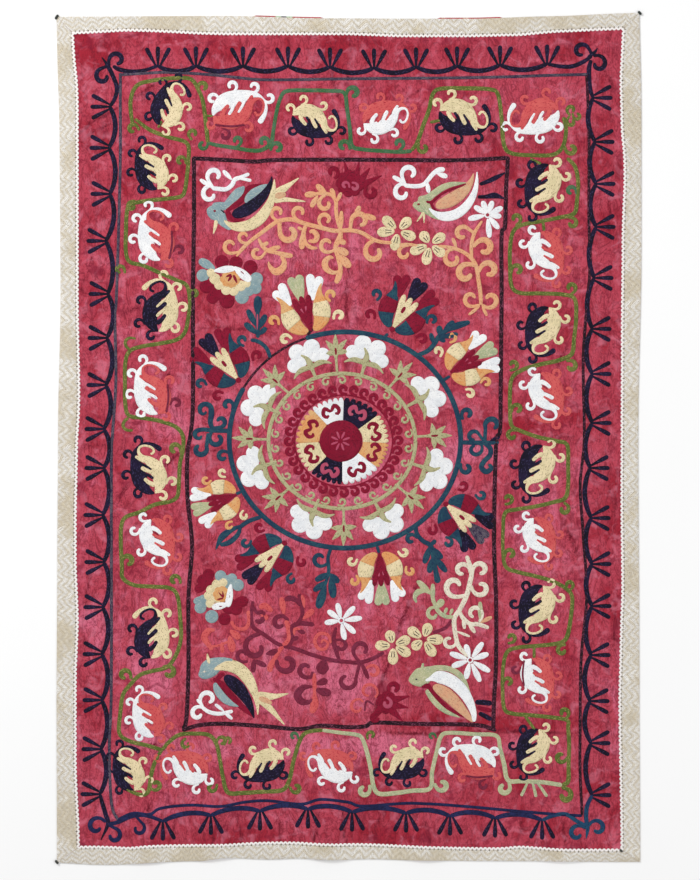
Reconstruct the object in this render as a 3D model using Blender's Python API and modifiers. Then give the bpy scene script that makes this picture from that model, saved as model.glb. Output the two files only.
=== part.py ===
"""Silk embroidery: a bordered wall cloth, laid out face up on a flat surface.

It is built from the pieces its maker cuts and sews: a lining, one ground cloth that carries the
stitching, four strips of binding that meet in mitres, and four lengths of trim over the joins.
Each piece is a thin solid sheet. All of them follow one set of low folds, so they never touch.

Units are metres. +Z is up, +Y points to the cloth's top edge, and the origin is under its middle.
"""

import math
from collections import namedtuple

import bmesh
import bpy
from mathutils import Vector

CM = 0.01
MM = 0.001

# Thickness of each layer, and the clear gap that parts keep between each other.
LINING_THICK = 1.0 * MM
CLOTH_THICK = 1.2 * MM
TRIM_THICK = 1.0 * MM
GAP = 0.3 * MM
CLOTH_BASE = LINING_THICK + GAP
TRIM_BASE = CLOTH_BASE + CLOTH_THICK + GAP

TRIM_WIDTH = 10.0 * MM
LINING_INSET = 1.0 * MM

# How many cells the folds are modelled with, across the cloth and down it.
CELLS_ACROSS = 22
CELLS_DOWN = 32

# A row says where an edge lies at one place along it, in centimetres from the middle.
Edge = namedtuple("Edge", "along across")
Side = namedtuple("Side", "name runs_along_x outward outer seam")

TOP = Side(
    "top", True, 1,
    outer=(
        Edge(-72.8, 105.1), Edge(-30.9, 105.3), Edge(-4.8, 104.7), Edge(12.7, 104.6),
        Edge(30.2, 104.6), Edge(50.1, 105.2), Edge(72.3, 106.1),
    ),
    seam=(
        Edge(-68.9, 101.1), Edge(-54.6, 101.8), Edge(-30.9, 100.9), Edge(0.2, 100.9),
        Edge(12.7, 100.4), Edge(30.1, 100.4), Edge(42.6, 100.7), Edge(52.5, 101.6),
        Edge(68.4, 102.2),
    ),
)
BOTTOM = Side(
    "bottom", True, -1,
    outer=(
        Edge(-72.7, -105.5), Edge(-68.2, -106.1), Edge(-60.8, -106.1), Edge(-42.1, -105.2),
        Edge(-37.1, -105.1), Edge(-30.9, -104.2), Edge(-20.9, -104.8), Edge(-12.2, -104.4),
        Edge(-2.2, -105.0), Edge(2.7, -104.5), Edge(15.4, -104.9), Edge(35.1, -105.1),
        Edge(72.5, -105.3),
    ),
    seam=(
        Edge(-67.4, -101.7), Edge(-64.5, -102.0), Edge(-59.5, -101.5), Edge(-54.5, -102.0),
        Edge(-49.6, -101.4), Edge(-32.1, -101.2), Edge(-19.7, -100.6), Edge(-12.2, -100.7),
        Edge(-4.7, -101.1), Edge(2.7, -101.0), Edge(15.4, -101.5), Edge(22.7, -101.9),
        Edge(37.6, -102.1), Edge(41.3, -101.5), Edge(45.1, -101.7), Edge(52.5, -102.4),
        Edge(68.0, -102.4),
    ),
)
LEFT = Side(
    "left", False, -1,
    outer=(
        Edge(-105.5, -72.7), Edge(-65.0, -72.8), Edge(-30.2, -72.6), Edge(2.2, -72.4),
        Edge(34.6, -71.8), Edge(71.9, -72.0), Edge(105.1, -72.8),
    ),
    seam=(
        Edge(-101.7, -67.4), Edge(-80.0, -68.2), Edge(-60.0, -68.2), Edge(-45.1, -67.7),
        Edge(-30.2, -68.2), Edge(-20.2, -68.2), Edge(-2.8, -67.9), Edge(9.7, -67.3),
        Edge(34.6, -67.7), Edge(84.4, -67.7), Edge(101.1, -68.9),
    ),
)
RIGHT = Side(
    "right", False, 1,
    outer=(
        Edge(-105.3, 72.5), Edge(-65.0, 72.3), Edge(2.2, 72.0), Edge(47.0, 72.8),
        Edge(84.4, 72.8), Edge(106.1, 72.3),
    ),
    seam=(
        Edge(-102.4, 68.0), Edge(-65.0, 67.5), Edge(-50.1, 67.8), Edge(-37.6, 68.2),
        Edge(-15.2, 68.0), Edge(24.6, 68.1), Edge(50.2, 68.3), Edge(67.0, 68.8),
        Edge(79.4, 68.0), Edge(89.4, 67.8), Edge(102.2, 68.4),
    ),
)
SIDES = (TOP, BOTTOM, LEFT, RIGHT)

# Where the lining shows past the binding on the top edge, in centimetres.
Peek = namedtuple("Peek", "start end reach")
PEEKS = (Peek(-24.2, -6.0, 0.3), Peek(22.2, 38.1, 0.3))

# A fold is a low ridge: its middle, its length and its full width in centimetres, the heading of
# its crest in degrees from +X, and its height in millimetres. The cloth lies flat between folds.
Fold = namedtuple("Fold", "name x y heading length width height")
FOLDS = (
    Fold("middle_crease", -1.0, 2.0, 90, 186, 17, 3.0),
    Fold("cross_crease", -8.0, -0.3, 0, 96, 16, 3.0),
    Fold("lower_pleat", 12.0, -48.0, 72, 48, 15, 6.0),
    Fold("lower_cross_crease", 32.0, -73.2, 0, 54, 15, 3.4),
    Fold("upper_left_crease", -57.0, 82.4, 32, 27, 14, 4.0),
    Fold("right_ripple", 61.5, 4.7, 90, 70, 13, 4.0),
    Fold("left_ripple", -60.0, -20.0, 90, 60, 13, 3.0),
    Fold("left_cross_crease", -47.0, 35.5, 4, 26, 14, 3.0),
    Fold("bottom_pucker_1", -50.0, -98.0, 90, 30, 14, 3.6),
    Fold("bottom_pucker_2", -33.0, -98.0, 90, 30, 13, 4.6),
    Fold("bottom_pucker_3", -5.0, -98.0, 90, 30, 14, 5.4),
    Fold("bottom_pucker_4", 19.0, -98.0, 90, 30, 13, 4.2),
    Fold("bottom_pucker_5", 53.0, -98.0, 90, 28, 14, 3.6),
)


def clear_scene():
    for thing in list(bpy.data.objects):
        bpy.data.objects.remove(thing, do_unlink=True)


def new_collection(name):
    collection = bpy.data.collections.new(name)
    bpy.context.scene.collection.children.link(collection)
    return collection


def make_material(name, colour, roughness):
    material = bpy.data.materials.new(name)
    material.use_nodes = True
    shader = material.node_tree.nodes["Principled BSDF"]
    shader.inputs["Base Color"].default_value = (*colour, 1.0)
    shader.inputs["Roughness"].default_value = roughness
    shader.inputs["Metallic"].default_value = 0.0
    return material


def eased(share):
    return share * share * (3.0 - 2.0 * share)


def edge_across(table, along):
    """Where an edge lies at one place along it, eased from row to row."""
    for first, last in zip(table, table[1:]):
        if along <= last.along:
            share = max(0.0, (along - first.along) / (last.along - first.along))
            return first.across + (last.across - first.across) * eased(share)
    return table[-1].across


def edge_point(side, table, share):
    """A point of an edge, square across from the same share of the seam, or its own corner."""
    if share == 0.0:
        along = table[0].along
    elif share == 1.0:
        along = table[-1].along
    else:
        along = side.seam[0].along + (side.seam[-1].along - side.seam[0].along) * share
    across = edge_across(table, along)
    point = (along, across) if side.runs_along_x else (across, along)
    return Vector((point[0] * CM, point[1] * CM))


def side_at(u, v):
    """The side that a border point of the unit square lies on, and its share along that side."""
    if v in (0.0, 1.0):
        return (TOP if v == 1.0 else BOTTOM), u
    return (RIGHT if u == 1.0 else LEFT), v


def cloth_point(u, v):
    """A point of the ground cloth, spread evenly between its four seams."""
    bottom = edge_point(BOTTOM, BOTTOM.seam, u)
    top = edge_point(TOP, TOP.seam, u)
    left = edge_point(LEFT, LEFT.seam, v)
    right = edge_point(RIGHT, RIGHT.seam, v)
    low = edge_point(BOTTOM, BOTTOM.seam, 0.0).lerp(edge_point(BOTTOM, BOTTOM.seam, 1.0), u)
    high = edge_point(TOP, TOP.seam, 0.0).lerp(edge_point(TOP, TOP.seam, 1.0), u)
    return bottom.lerp(top, v) + left.lerp(right, u) - low.lerp(high, v)


def lift(point):
    """How far the folds raise the cloth at a point, in metres."""
    total = 0.0
    for fold in FOLDS:
        heading = math.radians(fold.heading)
        x = point.x / CM - fold.x
        y = point.y / CM - fold.y
        along = abs(x * math.cos(heading) + y * math.sin(heading)) / (fold.length / 2)
        across = abs(y * math.cos(heading) - x * math.sin(heading)) / (fold.width / 2)
        if along < 1.0 and across < 1.0:
            crest = math.cos(across * math.pi / 2) ** 2
            total += fold.height * MM * crest * eased(min(1.0, 2.5 * (1.0 - along)))
    return total


def raised(point, base, lifted_at=None):
    """A point of a layer, on the folds as they are there or at a neighbouring point."""
    return Vector((point.x, point.y, base + lift(lifted_at or point)))


def unit_grid(cells_x, cells_y):
    """A primitive grid over the unit square, with its corners on exact shares."""
    shape = bmesh.new()
    bmesh.ops.create_grid(shape, x_segments=cells_x, y_segments=cells_y, size=0.5)
    for vertex in shape.verts:
        vertex.co.x = round((vertex.co.x + 0.5) * cells_x) / cells_x
        vertex.co.y = round((vertex.co.y + 0.5) * cells_y) / cells_y
    return shape


def split_cells(shape):
    """Cuts every cell along the diagonal that climbs to the right, so that layers lie alike."""
    for face in list(shape.faces):
        first, second, third, fourth = face.verts
        run = third.co - first.co
        ends = (first, third) if run.x * run.y > 0 else (second, fourth)
        bmesh.utils.face_split(face, *ends)


def finish_sheet(name, shape, thick, material, collection):
    """Turns a placed grid into a solid sheet that rises from its surface by its thickness."""
    split_cells(shape)
    for face in shape.faces:
        face.normal_update()
        if face.normal.z < 0:
            face.normal_flip()
    mesh = bpy.data.meshes.new(name)
    shape.to_mesh(mesh)
    shape.free()
    mesh.materials.append(material)
    sheet = bpy.data.objects.new(name, mesh)
    collection.objects.link(sheet)
    solid = sheet.modifiers.new("thickness", "SOLIDIFY")
    solid.thickness = thick
    solid.offset = 1.0
    return sheet


def make_ground_cloth(collection):
    shape = unit_grid(CELLS_ACROSS, CELLS_DOWN)
    for vertex in shape.verts:
        u, v = vertex.co.x, vertex.co.y
        point = cloth_point(u, v)
        inset = Vector(((u == 0.0) - (u == 1.0), (v == 0.0) - (v == 1.0))) * GAP / 2
        vertex.co = raised(point + inset, CLOTH_BASE, point)
    material = make_material("dyed_cotton", (0.51, 0.045, 0.09), 0.85)
    return finish_sheet("ground_cloth", shape, CLOTH_THICK, material, collection)


def lining_edge(side, share):
    """The lining's own edge: a little inside the binding, or past it where it shows."""
    point = edge_point(side, side.outer, share)
    reach = -LINING_INSET
    if side is TOP:
        for peek in PEEKS:
            if peek.start <= point.x / CM <= peek.end:
                reach = peek.reach * CM
    return point, reach * side.outward


def make_lining(collection):
    """The cloth's grid with a ring extruded out under the binding."""
    shape = unit_grid(CELLS_ACROSS, CELLS_DOWN)
    border = [edge for edge in shape.edges if edge.is_boundary]
    extruded = bmesh.ops.extrude_edge_only(shape, edges=border)["geom"]
    ring = {part for part in extruded if isinstance(part, bmesh.types.BMVert)}
    for vertex in shape.verts:
        u, v = vertex.co.x, vertex.co.y
        if vertex not in ring:
            vertex.co = raised(cloth_point(u, v), 0.0)
            continue
        side, share = side_at(u, v)
        point, reach = lining_edge(side, share)
        shift = Vector((0.0, reach)) if side.runs_along_x else Vector((reach, 0.0))
        if share in (0.0, 1.0):
            shift = Vector((0.5 - u, 0.5 - v)) * 2 * LINING_INSET
        vertex.co = raised(point + shift, 0.0, point)
    material = make_material("printed_cotton", (0.45, 0.05, 0.07), 0.85)
    return finish_sheet("lining", shape, LINING_THICK, material, collection)


def mitred(side, point, share, row):
    """Moves the end points of a strip along it, so that it clears its neighbour at the mitre."""
    along = ((share == 0.0) - (share == 1.0)) * GAP * math.sqrt(0.5)
    out = row * side.outward
    return point + (Vector((along, out)) if side.runs_along_x else Vector((out, along)))


def make_binding(side, material, collection):
    cells = CELLS_ACROSS if side.runs_along_x else CELLS_DOWN
    shape = unit_grid(cells, 1)
    for vertex in shape.verts:
        share, row = vertex.co.x, vertex.co.y
        table = side.outer if row == 1.0 else side.seam
        point = edge_point(side, table, share)
        placed = mitred(side, point, share, 0.0 if row == 1.0 else GAP / 2)
        vertex.co = raised(placed, CLOTH_BASE, point)
    return finish_sheet(f"binding_{side.name}", shape, CLOTH_THICK, material, collection)


def inner_neighbour(side, share):
    """The cloth's next point inwards from a point of the seam, on the diagonal at a corner."""
    along_cells = CELLS_ACROSS if side.runs_along_x else CELLS_DOWN
    across_cells = CELLS_DOWN if side.runs_along_x else CELLS_ACROSS
    along = min(max(share, 1.0 / along_cells), 1.0 - 1.0 / along_cells)
    across = 1.0 / across_cells if side.outward < 0 else 1.0 - 1.0 / across_cells
    return cloth_point(along, across) if side.runs_along_x else cloth_point(across, along)


def make_trim(side, material, collection):
    """A ribbon laid over the join, half on the binding and half on the ground cloth."""
    cells = CELLS_ACROSS if side.runs_along_x else CELLS_DOWN
    shape = unit_grid(cells, 2)
    for vertex in shape.verts:
        share, row = vertex.co.x, vertex.co.y
        seam = raised(edge_point(side, side.seam, share), TRIM_BASE)
        if row == 0.5:
            vertex.co = seam
        else:
            if row == 1.0:
                reach = raised(edge_point(side, side.outer, share), TRIM_BASE)
            else:
                reach = raised(inner_neighbour(side, share), TRIM_BASE)
            across = abs(reach.y - seam.y) if side.runs_along_x else abs(reach.x - seam.x)
            vertex.co = seam.lerp(reach, TRIM_WIDTH / 2 / across)
        shift = mitred(side, Vector((0.0, 0.0)), share, 0.0)
        vertex.co.x += shift.x
        vertex.co.y += shift.y
    return finish_sheet(f"trim_{side.name}", shape, TRIM_THICK, material, collection)


def main():
    clear_scene()
    collection = new_collection("silk_embroidery")
    make_lining(collection)
    make_ground_cloth(collection)
    brocade = make_material("brocade_binding", (0.62, 0.55, 0.42), 0.7)
    braid = make_material("white_braid", (0.9, 0.9, 0.9), 0.8)
    for side in SIDES:
        make_binding(side, brocade, collection)
        make_trim(side, braid, collection)


main()
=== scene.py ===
"""Looks of the silk embroidery: a bordered wall cloth, laid out face up.

The cloth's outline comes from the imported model. Its stitching is drawn on a layout of small
squares, as its maker would draw it on the cloth: x counts squares to the right and y counts them
down, and a row (x, y, width) is one place on the middle line of a stitched shape.
"""

import math
from collections import namedtuple

import bpy
import numpy as np
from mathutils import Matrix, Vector


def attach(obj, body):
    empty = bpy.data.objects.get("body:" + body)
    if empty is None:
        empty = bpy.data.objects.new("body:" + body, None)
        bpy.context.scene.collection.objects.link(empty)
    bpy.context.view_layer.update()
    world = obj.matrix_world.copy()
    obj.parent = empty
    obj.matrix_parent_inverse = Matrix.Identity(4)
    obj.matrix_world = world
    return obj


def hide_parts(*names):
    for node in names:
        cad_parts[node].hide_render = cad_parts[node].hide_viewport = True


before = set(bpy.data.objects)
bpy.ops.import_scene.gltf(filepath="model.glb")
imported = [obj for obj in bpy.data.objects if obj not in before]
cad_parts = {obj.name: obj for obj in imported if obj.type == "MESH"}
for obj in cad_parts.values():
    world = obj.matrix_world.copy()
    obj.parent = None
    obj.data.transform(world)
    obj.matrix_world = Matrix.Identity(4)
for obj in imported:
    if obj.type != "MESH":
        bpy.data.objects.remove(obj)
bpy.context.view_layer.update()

bl_info = {
    "name": "Silk embroidery",
    "version": (1, 0, 0),
    "blender": (4, 5, 0),
    "location": "View3D > Sidebar > Embroidery",
    "description": "Builds a bordered embroidered cloth with its lining, binding and trim",
    "category": "Object",
}

CM = 0.01
MM = 0.001

# One square of the layout, and the square that lies over the middle of the cloth.
SQUARE = 2.49 * MM
MIDDLE_X = 349.0
MIDDLE_Y = 438.9

# Heights of the upper faces of the layers, where the cloth lies flat.
LINING_TOP = 1.0 * MM
CLOTH_TOP = 2.5 * MM


def rows_of(kind, rows):
    """Each row of numbers as an entry of one kind."""
    return tuple(kind(*row) for row in rows)


def by_thread(kind, table):
    """Entries of one kind, from a table that groups their rows under their threads."""
    return tuple(kind(thread, *row) for thread, rows in table.items() for row in rows)


def even(width, *places):
    """Rows of one width through the places given."""
    return tuple((x, y, width) for x, y in places)


# A fold is a low ridge, as in the part: its middle, length and width in centimetres, the heading
# of its crest in degrees from +X, and its height in millimetres.
Fold = namedtuple("Fold", "x y heading length width height")
FOLDS = rows_of(Fold, (
    (-1.0, 2.0, 90, 186, 17, 3.0), (-8.0, -0.3, 0, 96, 16, 3.0), (12.0, -48.0, 72, 48, 15, 6.0),
    (32.0, -73.2, 0, 54, 15, 3.4), (-57.0, 82.4, 32, 27, 14, 4.0), (61.5, 4.7, 90, 70, 13, 4.0),
    (-60.0, -20.0, 90, 60, 13, 3.0), (-47.0, 35.5, 4, 26, 14, 3.0), (-50.0, -98.0, 90, 30, 14, 3.6),
    (-33.0, -98.0, 90, 30, 13, 4.6), (-5.0, -98.0, 90, 30, 14, 5.4), (19.0, -98.0, 90, 30, 13, 4.2),
    (53.0, -98.0, 90, 28, 14, 3.6),
))

# A crease is a sharp line in the cloth, from one square of the layout to another. Its width is in
# squares, its height in millimetres, and its shade says how much it darkens the cloth.
Crease = namedtuple("Crease", "x1 y1 x2 y2 width height shade")
CREASES = rows_of(Crease, (
    (346, 22, 347, 160, 1.6, 0.5, 0.35), (328, 66, 340, 106, 1.4, 0.9, 0.9),
    (346, 250, 346, 335, 1.5, 0.6, 0.7), (331, 362, 331, 402, 1.5, 0.6, 0.8),
    (332, 480, 331, 540, 1.6, 0.5, 0.5), (338, 650, 339, 730, 1.8, 0.5, 0.3),
    (74, 139, 121, 106, 1.6, 0.8, 0.9), (121, 106, 166, 80, 1.6, 0.8, 0.7),
    (80, 143, 112, 123, 1.4, 0.5, 0.6), (202, 329, 276, 331, 1.8, 0.7, 0.5),
    (189, 457, 230, 447, 1.6, 0.7, 0.8), (161, 468, 196, 447, 2.2, 0.9, 0.9),
    (118, 504, 134, 478, 1.4, 0.6, 0.7), (271, 484, 310, 475, 1.6, 0.7, 0.8),
    (448, 440, 592, 440, 1.8, 0.7, 0.4), (230, 441, 292, 440, 2.0, 0.5, 0.3),
    (368, 733, 586, 734, 1.4, 1.0, 1.0), (421, 565, 391, 650, 1.8, 0.9, 0.7),
    (391, 650, 368, 724, 1.8, 1.0, 0.9), (448, 186, 520, 120, 2.2, 0.5, 0.25),
    (559, 515, 580, 560, 1.5, 0.7, 0.8), (566, 340, 556, 372, 1.5, 0.5, 0.6),
    (516, 372, 508, 394, 1.4, 0.5, 0.6), (421, 84, 402, 106, 1.4, 0.5, 0.6),
    (600, 60, 612, 96, 1.5, 0.6, 0.6), (118, 314, 136, 311, 1.8, 0.6, 0.6),
    (118, 318, 148, 306, 2.0, 0.5, 0.5), (150, 380, 196, 376, 1.6, 0.5, 0.6),
    (160, 404, 188, 398, 1.6, 0.4, 0.4), (74, 452, 116, 446, 2.0, 0.5, 0.4),
    (76, 640, 112, 660, 2.0, 0.5, 0.4), (82, 300, 96, 250, 1.8, 0.5, 0.4),
    (88, 560, 84, 620, 1.8, 0.5, 0.4), (80, 200, 92, 240, 1.8, 0.5, 0.4),
    (612, 180, 604, 250, 1.8, 0.5, 0.4), (610, 600, 616, 660, 1.8, 0.6, 0.5),
    (606, 470, 614, 520, 1.8, 0.5, 0.4), (608, 700, 600, 760, 1.8, 0.6, 0.5),
    (196, 560, 226, 566, 1.6, 0.5, 0.4), (446, 300, 488, 262, 2.2, 0.5, 0.3),
    (510, 606, 580, 590, 1.8, 0.5, 0.4), (118, 745, 200, 752, 2.0, 0.6, 0.5),
    (146, 800, 152, 838, 1.8, 0.8, 0.7), (176, 806, 172, 840, 1.8, 0.8, 0.6),
    (214, 820, 212, 846, 1.8, 0.9, 0.7), (236, 812, 240, 846, 1.8, 0.8, 0.6),
    (276, 818, 280, 844, 1.6, 0.8, 0.6), (318, 808, 312, 844, 1.8, 0.9, 0.7),
    (340, 806, 344, 846, 1.8, 0.9, 0.7), (378, 812, 372, 846, 1.8, 0.8, 0.6),
    (424, 818, 428, 846, 1.8, 0.9, 0.7), (448, 812, 446, 846, 1.6, 0.7, 0.6),
    (480, 822, 484, 846, 1.6, 0.7, 0.6), (520, 816, 516, 846, 1.8, 0.8, 0.6),
    (560, 822, 566, 846, 1.6, 0.7, 0.6),
))

# A patch of the ground where its dye has washed towards mauve, above zero, or stayed red, below.
Wash = namedtuple("Wash", "x y wide tall amount")
WASHES = rows_of(Wash, (
    (345, 440, 120, 120, 0.6), (500, 452, 60, 16, 0.7), (500, 425, 60, 18, -0.5),
    (280, 235, 90, 60, 0.4), (420, 240, 80, 60, 0.2), (340, 690, 120, 50, 0.7),
    (450, 630, 60, 90, -0.3), (340, 747, 240, 14, 1.0), (480, 724, 120, 10, -1.4),
    (170, 790, 90, 26, 0.5), (400, 800, 160, 22, -0.3), (155, 380, 40, 60, 0.5),
    (150, 680, 40, 50, 0.6), (540, 560, 40, 60, 0.6), (545, 430, 40, 22, -0.5),
    (545, 640, 44, 20, -0.4), (90, 440, 18, 300, -0.1), (90, 60, 40, 60, -0.5),
    (608, 440, 18, 380, -0.4), (300, 45, 260, 16, -0.3), (340, 836, 280, 14, -0.5),
    (540, 80, 80, 40, 0.1), (230, 550, 50, 40, 0.3), (170, 210, 30, 60, 0.0),
    (172, 180, 24, 24, -0.8), (205, 330, 20, 30, -0.7), (445, 545, 34, 34, 0.8),
    (305, 545, 50, 30, 0.6), (400, 600, 60, 30, 0.5), (300, 650, 80, 50, 0.35),
    (90, 610, 16, 60, 0.4), (604, 120, 20, 50, -0.6), (606, 740, 18, 60, 0.5),
    (480, 48, 90, 16, -0.4), (330, 265, 60, 40, 0.3),
))


def colour(red, green, blue):
    """A colour given in the usual steps from 0 to 255, as linear light."""
    linear = []
    for step in (red, green, blue):
        share = step / 255
        linear.append(share / 12.92 if share <= 0.04045 else ((share + 0.055) / 1.055) ** 2.4)
    return tuple(linear)


def thread_property(label, description, red, green, blue):
    return bpy.props.FloatVectorProperty(
        name=label,
        description=description,
        default=colour(red, green, blue),
        size=3,
        min=0.0,
        max=1.0,
        subtype="COLOR",
    )


def length_property(label, description, default):
    return bpy.props.FloatProperty(
        name=label, description=description, default=default, min=0.0, unit="LENGTH"
    )


class ClothThreads(bpy.types.PropertyGroup):
    """Colours of the silk threads."""

    white: thread_property("White", "Silk of the bolls and pale figures", 255, 255, 255)
    cream: thread_property("Cream", "Silk of the cream figures", 246, 226, 184)
    navy: thread_property("Navy", "Silk of the border vine and dark figures", 15, 8, 30)
    indigo: thread_property("Indigo", "Bluer silk of the lower border", 24, 30, 70)
    sea: thread_property("Sea blue", "Silk of the corner where the navy ran out", 28, 78, 108)
    slate: thread_property("Slate", "Silk of the outer frame line", 74, 66, 80)
    black: thread_property("Black", "Silk of the inner frame line", 26, 12, 22)
    olive: thread_property("Olive", "Silk of the meander", 88, 104, 42)
    fern: thread_property("Fern", "Greener silk of the meander at the top", 58, 106, 62)
    mist: thread_property("Mist", "Pale silk of the meander at the bottom", 190, 190, 148)
    coral: thread_property("Coral", "Silk of the coral figures", 214, 88, 90)
    orange: thread_property("Orange", "Silk of the orange vine", 232, 162, 100)
    crimson: thread_property("Crimson", "Dark red silk of the flowers", 136, 10, 44)
    maroon: thread_property("Maroon", "Brown red silk of the scrolls", 122, 34, 58)
    sky: thread_property("Grey blue", "Silk of the rosettes and birds", 150, 172, 176)
    teal: thread_property("Teal", "Silk of the ring and its leaves", 30, 62, 84)
    sage: thread_property("Sage", "Silk of the garland", 184, 178, 136)
    apricot: thread_property("Apricot", "Silk of the vine at the top", 236, 172, 126)
    ivory: thread_property("Ivory", "Silk of the pale scroll", 244, 236, 216)
    rose: thread_property("Rose", "Silk of the marks in the dark flowers", 186, 74, 104)
    knot: thread_property("Knot", "Dark thread of the corner knots", 54, 58, 54)
    peach: thread_property("Peach", "Silk of the birds' wings", 226, 168, 132)


class ClothSettings(bpy.types.PropertyGroup):
    """Sizes of the stitches and layers."""

    stitch_length: length_property("Stitch length", "Length of one chain stitch", 3.2 * MM)
    row_width: length_property("Row width", "Width of one row of chain stitch", 1.4 * MM)
    stitch_edge: length_property("Edge height", "Height of a stitched shape at its edge", 0.35 * MM)
    stitch_rise: length_property("Rise", "Height that a shape gains to its middle", 0.7 * MM)
    layer_step: length_property("Layer step", "Height between overlapping shapes", 0.3 * MM)
    cell: length_property("Cell", "Size of the cells that carry the cloth's folds", 6.2 * MM)
    tooth: length_property("Tooth", "Length of one tooth of the zigzag trim", 10.6 * MM)
    trim_width: length_property("Trim width", "Height of the trim's zigzag", 9.0 * MM)


# The frame's own outline


def top_points(node):
    """The points of a CAD sheet seen from above, each with the height of its upper face."""
    places = {}
    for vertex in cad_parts[node].data.vertices:
        key = (round(vertex.co.x, 5), round(vertex.co.y, 5))
        places[key] = max(places.get(key, -1.0), vertex.co.z)
    return np.array([(x, y, z) for (x, y), z in places.items()])


EDGE_POINTS = 33
Strip = namedtuple("Strip", "name runs_along_x outward seam outer")


def read_strip(name, runs_along_x, outward):
    """The seam and the outer edge of one binding, each in order from left or bottom."""
    points = top_points(f"binding_{name}")
    along, across = (0, 1) if runs_along_x else (1, 0)
    reach = points[:, across] * outward
    is_outer = reach > (reach.min() + reach.max()) / 2
    rows = []
    for chosen in (points[~is_outer], points[is_outer]):
        ordered = chosen[np.argsort(chosen[:, along])]
        places = np.linspace(ordered[0, along], ordered[-1, along], EDGE_POINTS)
        edge = [np.interp(places, ordered[:, along], ordered[:, axis]) for axis in (0, 1)]
        rows.append(np.column_stack(edge))
    return Strip(name, runs_along_x, outward, *rows)


STRIPS = (
    read_strip("top", True, 1),
    read_strip("bottom", True, -1),
    read_strip("left", False, -1),
    read_strip("right", False, 1),
)
TOP, BOTTOM, LEFT, RIGHT = STRIPS


def with_ends(rows):
    """The rows with one more beyond each end, so that a curve can pass through them all."""
    return np.vstack((2 * rows[0] - rows[1], rows, 2 * rows[-1] - rows[-2]))


def curve_between(before, start, end, after, part):
    """Points of a smooth curve from start to end, which heeds the points before and after."""
    return 0.5 * (
        2 * start
        + (end - before) * part
        + (2 * before - 5 * start + 4 * end - after) * part**2
        + (3 * start - before - 3 * end + after) * part**3
    )


def distances(points):
    """How far along a path each of its points lies."""
    return np.concatenate(([0.0], np.cumsum(np.hypot(*np.diff(points, axis=0).T))))


def along_edge(edge, shares):
    """Points along an edge of the frame, eased between its own points."""
    places = np.clip(np.asarray(shares, float), 0.0, 1.0) * (len(edge) - 1)
    first = np.minimum(places.astype(int), len(edge) - 2)
    part = (places - first)[:, None]
    rows = with_ends(edge)
    return curve_between(*(rows[first + step] for step in range(4)), part)


def cloth_points(u, v):
    """Points of the ground cloth, spread evenly between its four seams."""
    bottom, top = along_edge(BOTTOM.seam, u), along_edge(TOP.seam, u)
    left, right = along_edge(LEFT.seam, v), along_edge(RIGHT.seam, v)
    u, v = np.asarray(u)[:, None], np.asarray(v)[:, None]
    low = BOTTOM.seam[0] * (1 - u) + BOTTOM.seam[-1] * u
    high = TOP.seam[0] * (1 - u) + TOP.seam[-1] * u
    return bottom * (1 - v) + top * v + left * (1 - u) + right * u - low * (1 - v) - high * v


def eased(share):
    return share * share * (3.0 - 2.0 * share)


def lift(x, y):
    """How far the folds raise the cloth at points in metres."""
    total = np.zeros_like(x)
    for fold in FOLDS:
        heading = math.radians(fold.heading)
        dx, dy = x / CM - fold.x, y / CM - fold.y
        along = abs(dx * math.cos(heading) + dy * math.sin(heading)) / (fold.length / 2)
        across = abs(dy * math.cos(heading) - dx * math.sin(heading)) / (fold.width / 2)
        crest = np.cos(np.minimum(across, 1.0) * math.pi / 2) ** 2
        total += fold.height * MM * crest * eased(np.clip(2.5 * (1.0 - along), 0.0, 1.0))
    return total


def to_metres(x, y):
    return (x - MIDDLE_X) * SQUARE, (MIDDLE_Y - y) * SQUARE


def crease_shares(x, y):
    """Each crease, with how far points in metres lie from it in its own widths, and its fade."""
    for crease in CREASES:
        x1, y1 = to_metres(crease.x1, crease.y1)
        x2, y2 = to_metres(crease.x2, crease.y2)
        run = math.hypot(x2 - x1, y2 - y1)
        ux, uy = (x2 - x1) / run, (y2 - y1) / run
        along = ((x - x1) * ux + (y - y1) * uy) / run
        across = ((y - y1) * ux - (x - x1) * uy) / SQUARE
        across = across - 1.3 * np.sin(along * 7.0 + crease.x1)
        fade = eased(np.clip(along * 4 + 0.1, 0, 1)) * eased(np.clip((1 - along) * 4 + 0.1, 0, 1))
        yield crease, across / crease.width, fade


def surface(x, y):
    """Height of the ground cloth's face above where it lies flat, with folds and creases."""
    height = lift(x, y)
    for crease, across, fade in crease_shares(x, y):
        height = height + crease.height * MM * fade * np.exp(-(across**2) / 4.0)
    return height


# Meshes and materials


def deselect_all():
    for thing in list(bpy.context.selected_objects):
        thing.select_set(False)


def mesh_object(name, points, faces, uvs, uv_name="stitches"):
    """A smooth mesh object from arrays of points and faces, with a UV for each point."""
    mesh = bpy.data.meshes.new(name)
    mesh.from_pydata(points.tolist(), [], faces.tolist())
    layer = mesh.uv_layers.new(name=uv_name)
    corners = np.empty(len(mesh.loops), dtype=np.int32)
    mesh.loops.foreach_get("vertex_index", corners)
    layer.data.foreach_set("uv", uvs[corners].astype(np.float32).ravel())
    mesh.polygons.foreach_set("use_smooth", np.ones(len(mesh.polygons), dtype=bool))
    mesh.update()
    thing = bpy.data.objects.new(name, mesh)
    bpy.context.scene.collection.objects.link(thing)
    return thing


def grid_faces(rows, columns, start=0):
    """Faces of a grid of points that is stored row by row."""
    corner = start + np.arange(rows * columns).reshape(rows, columns)
    return np.stack(
        (corner[:-1, :-1], corner[:-1, 1:], corner[1:, 1:], corner[1:, :-1]), axis=-1
    ).reshape(-1, 4)


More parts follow.
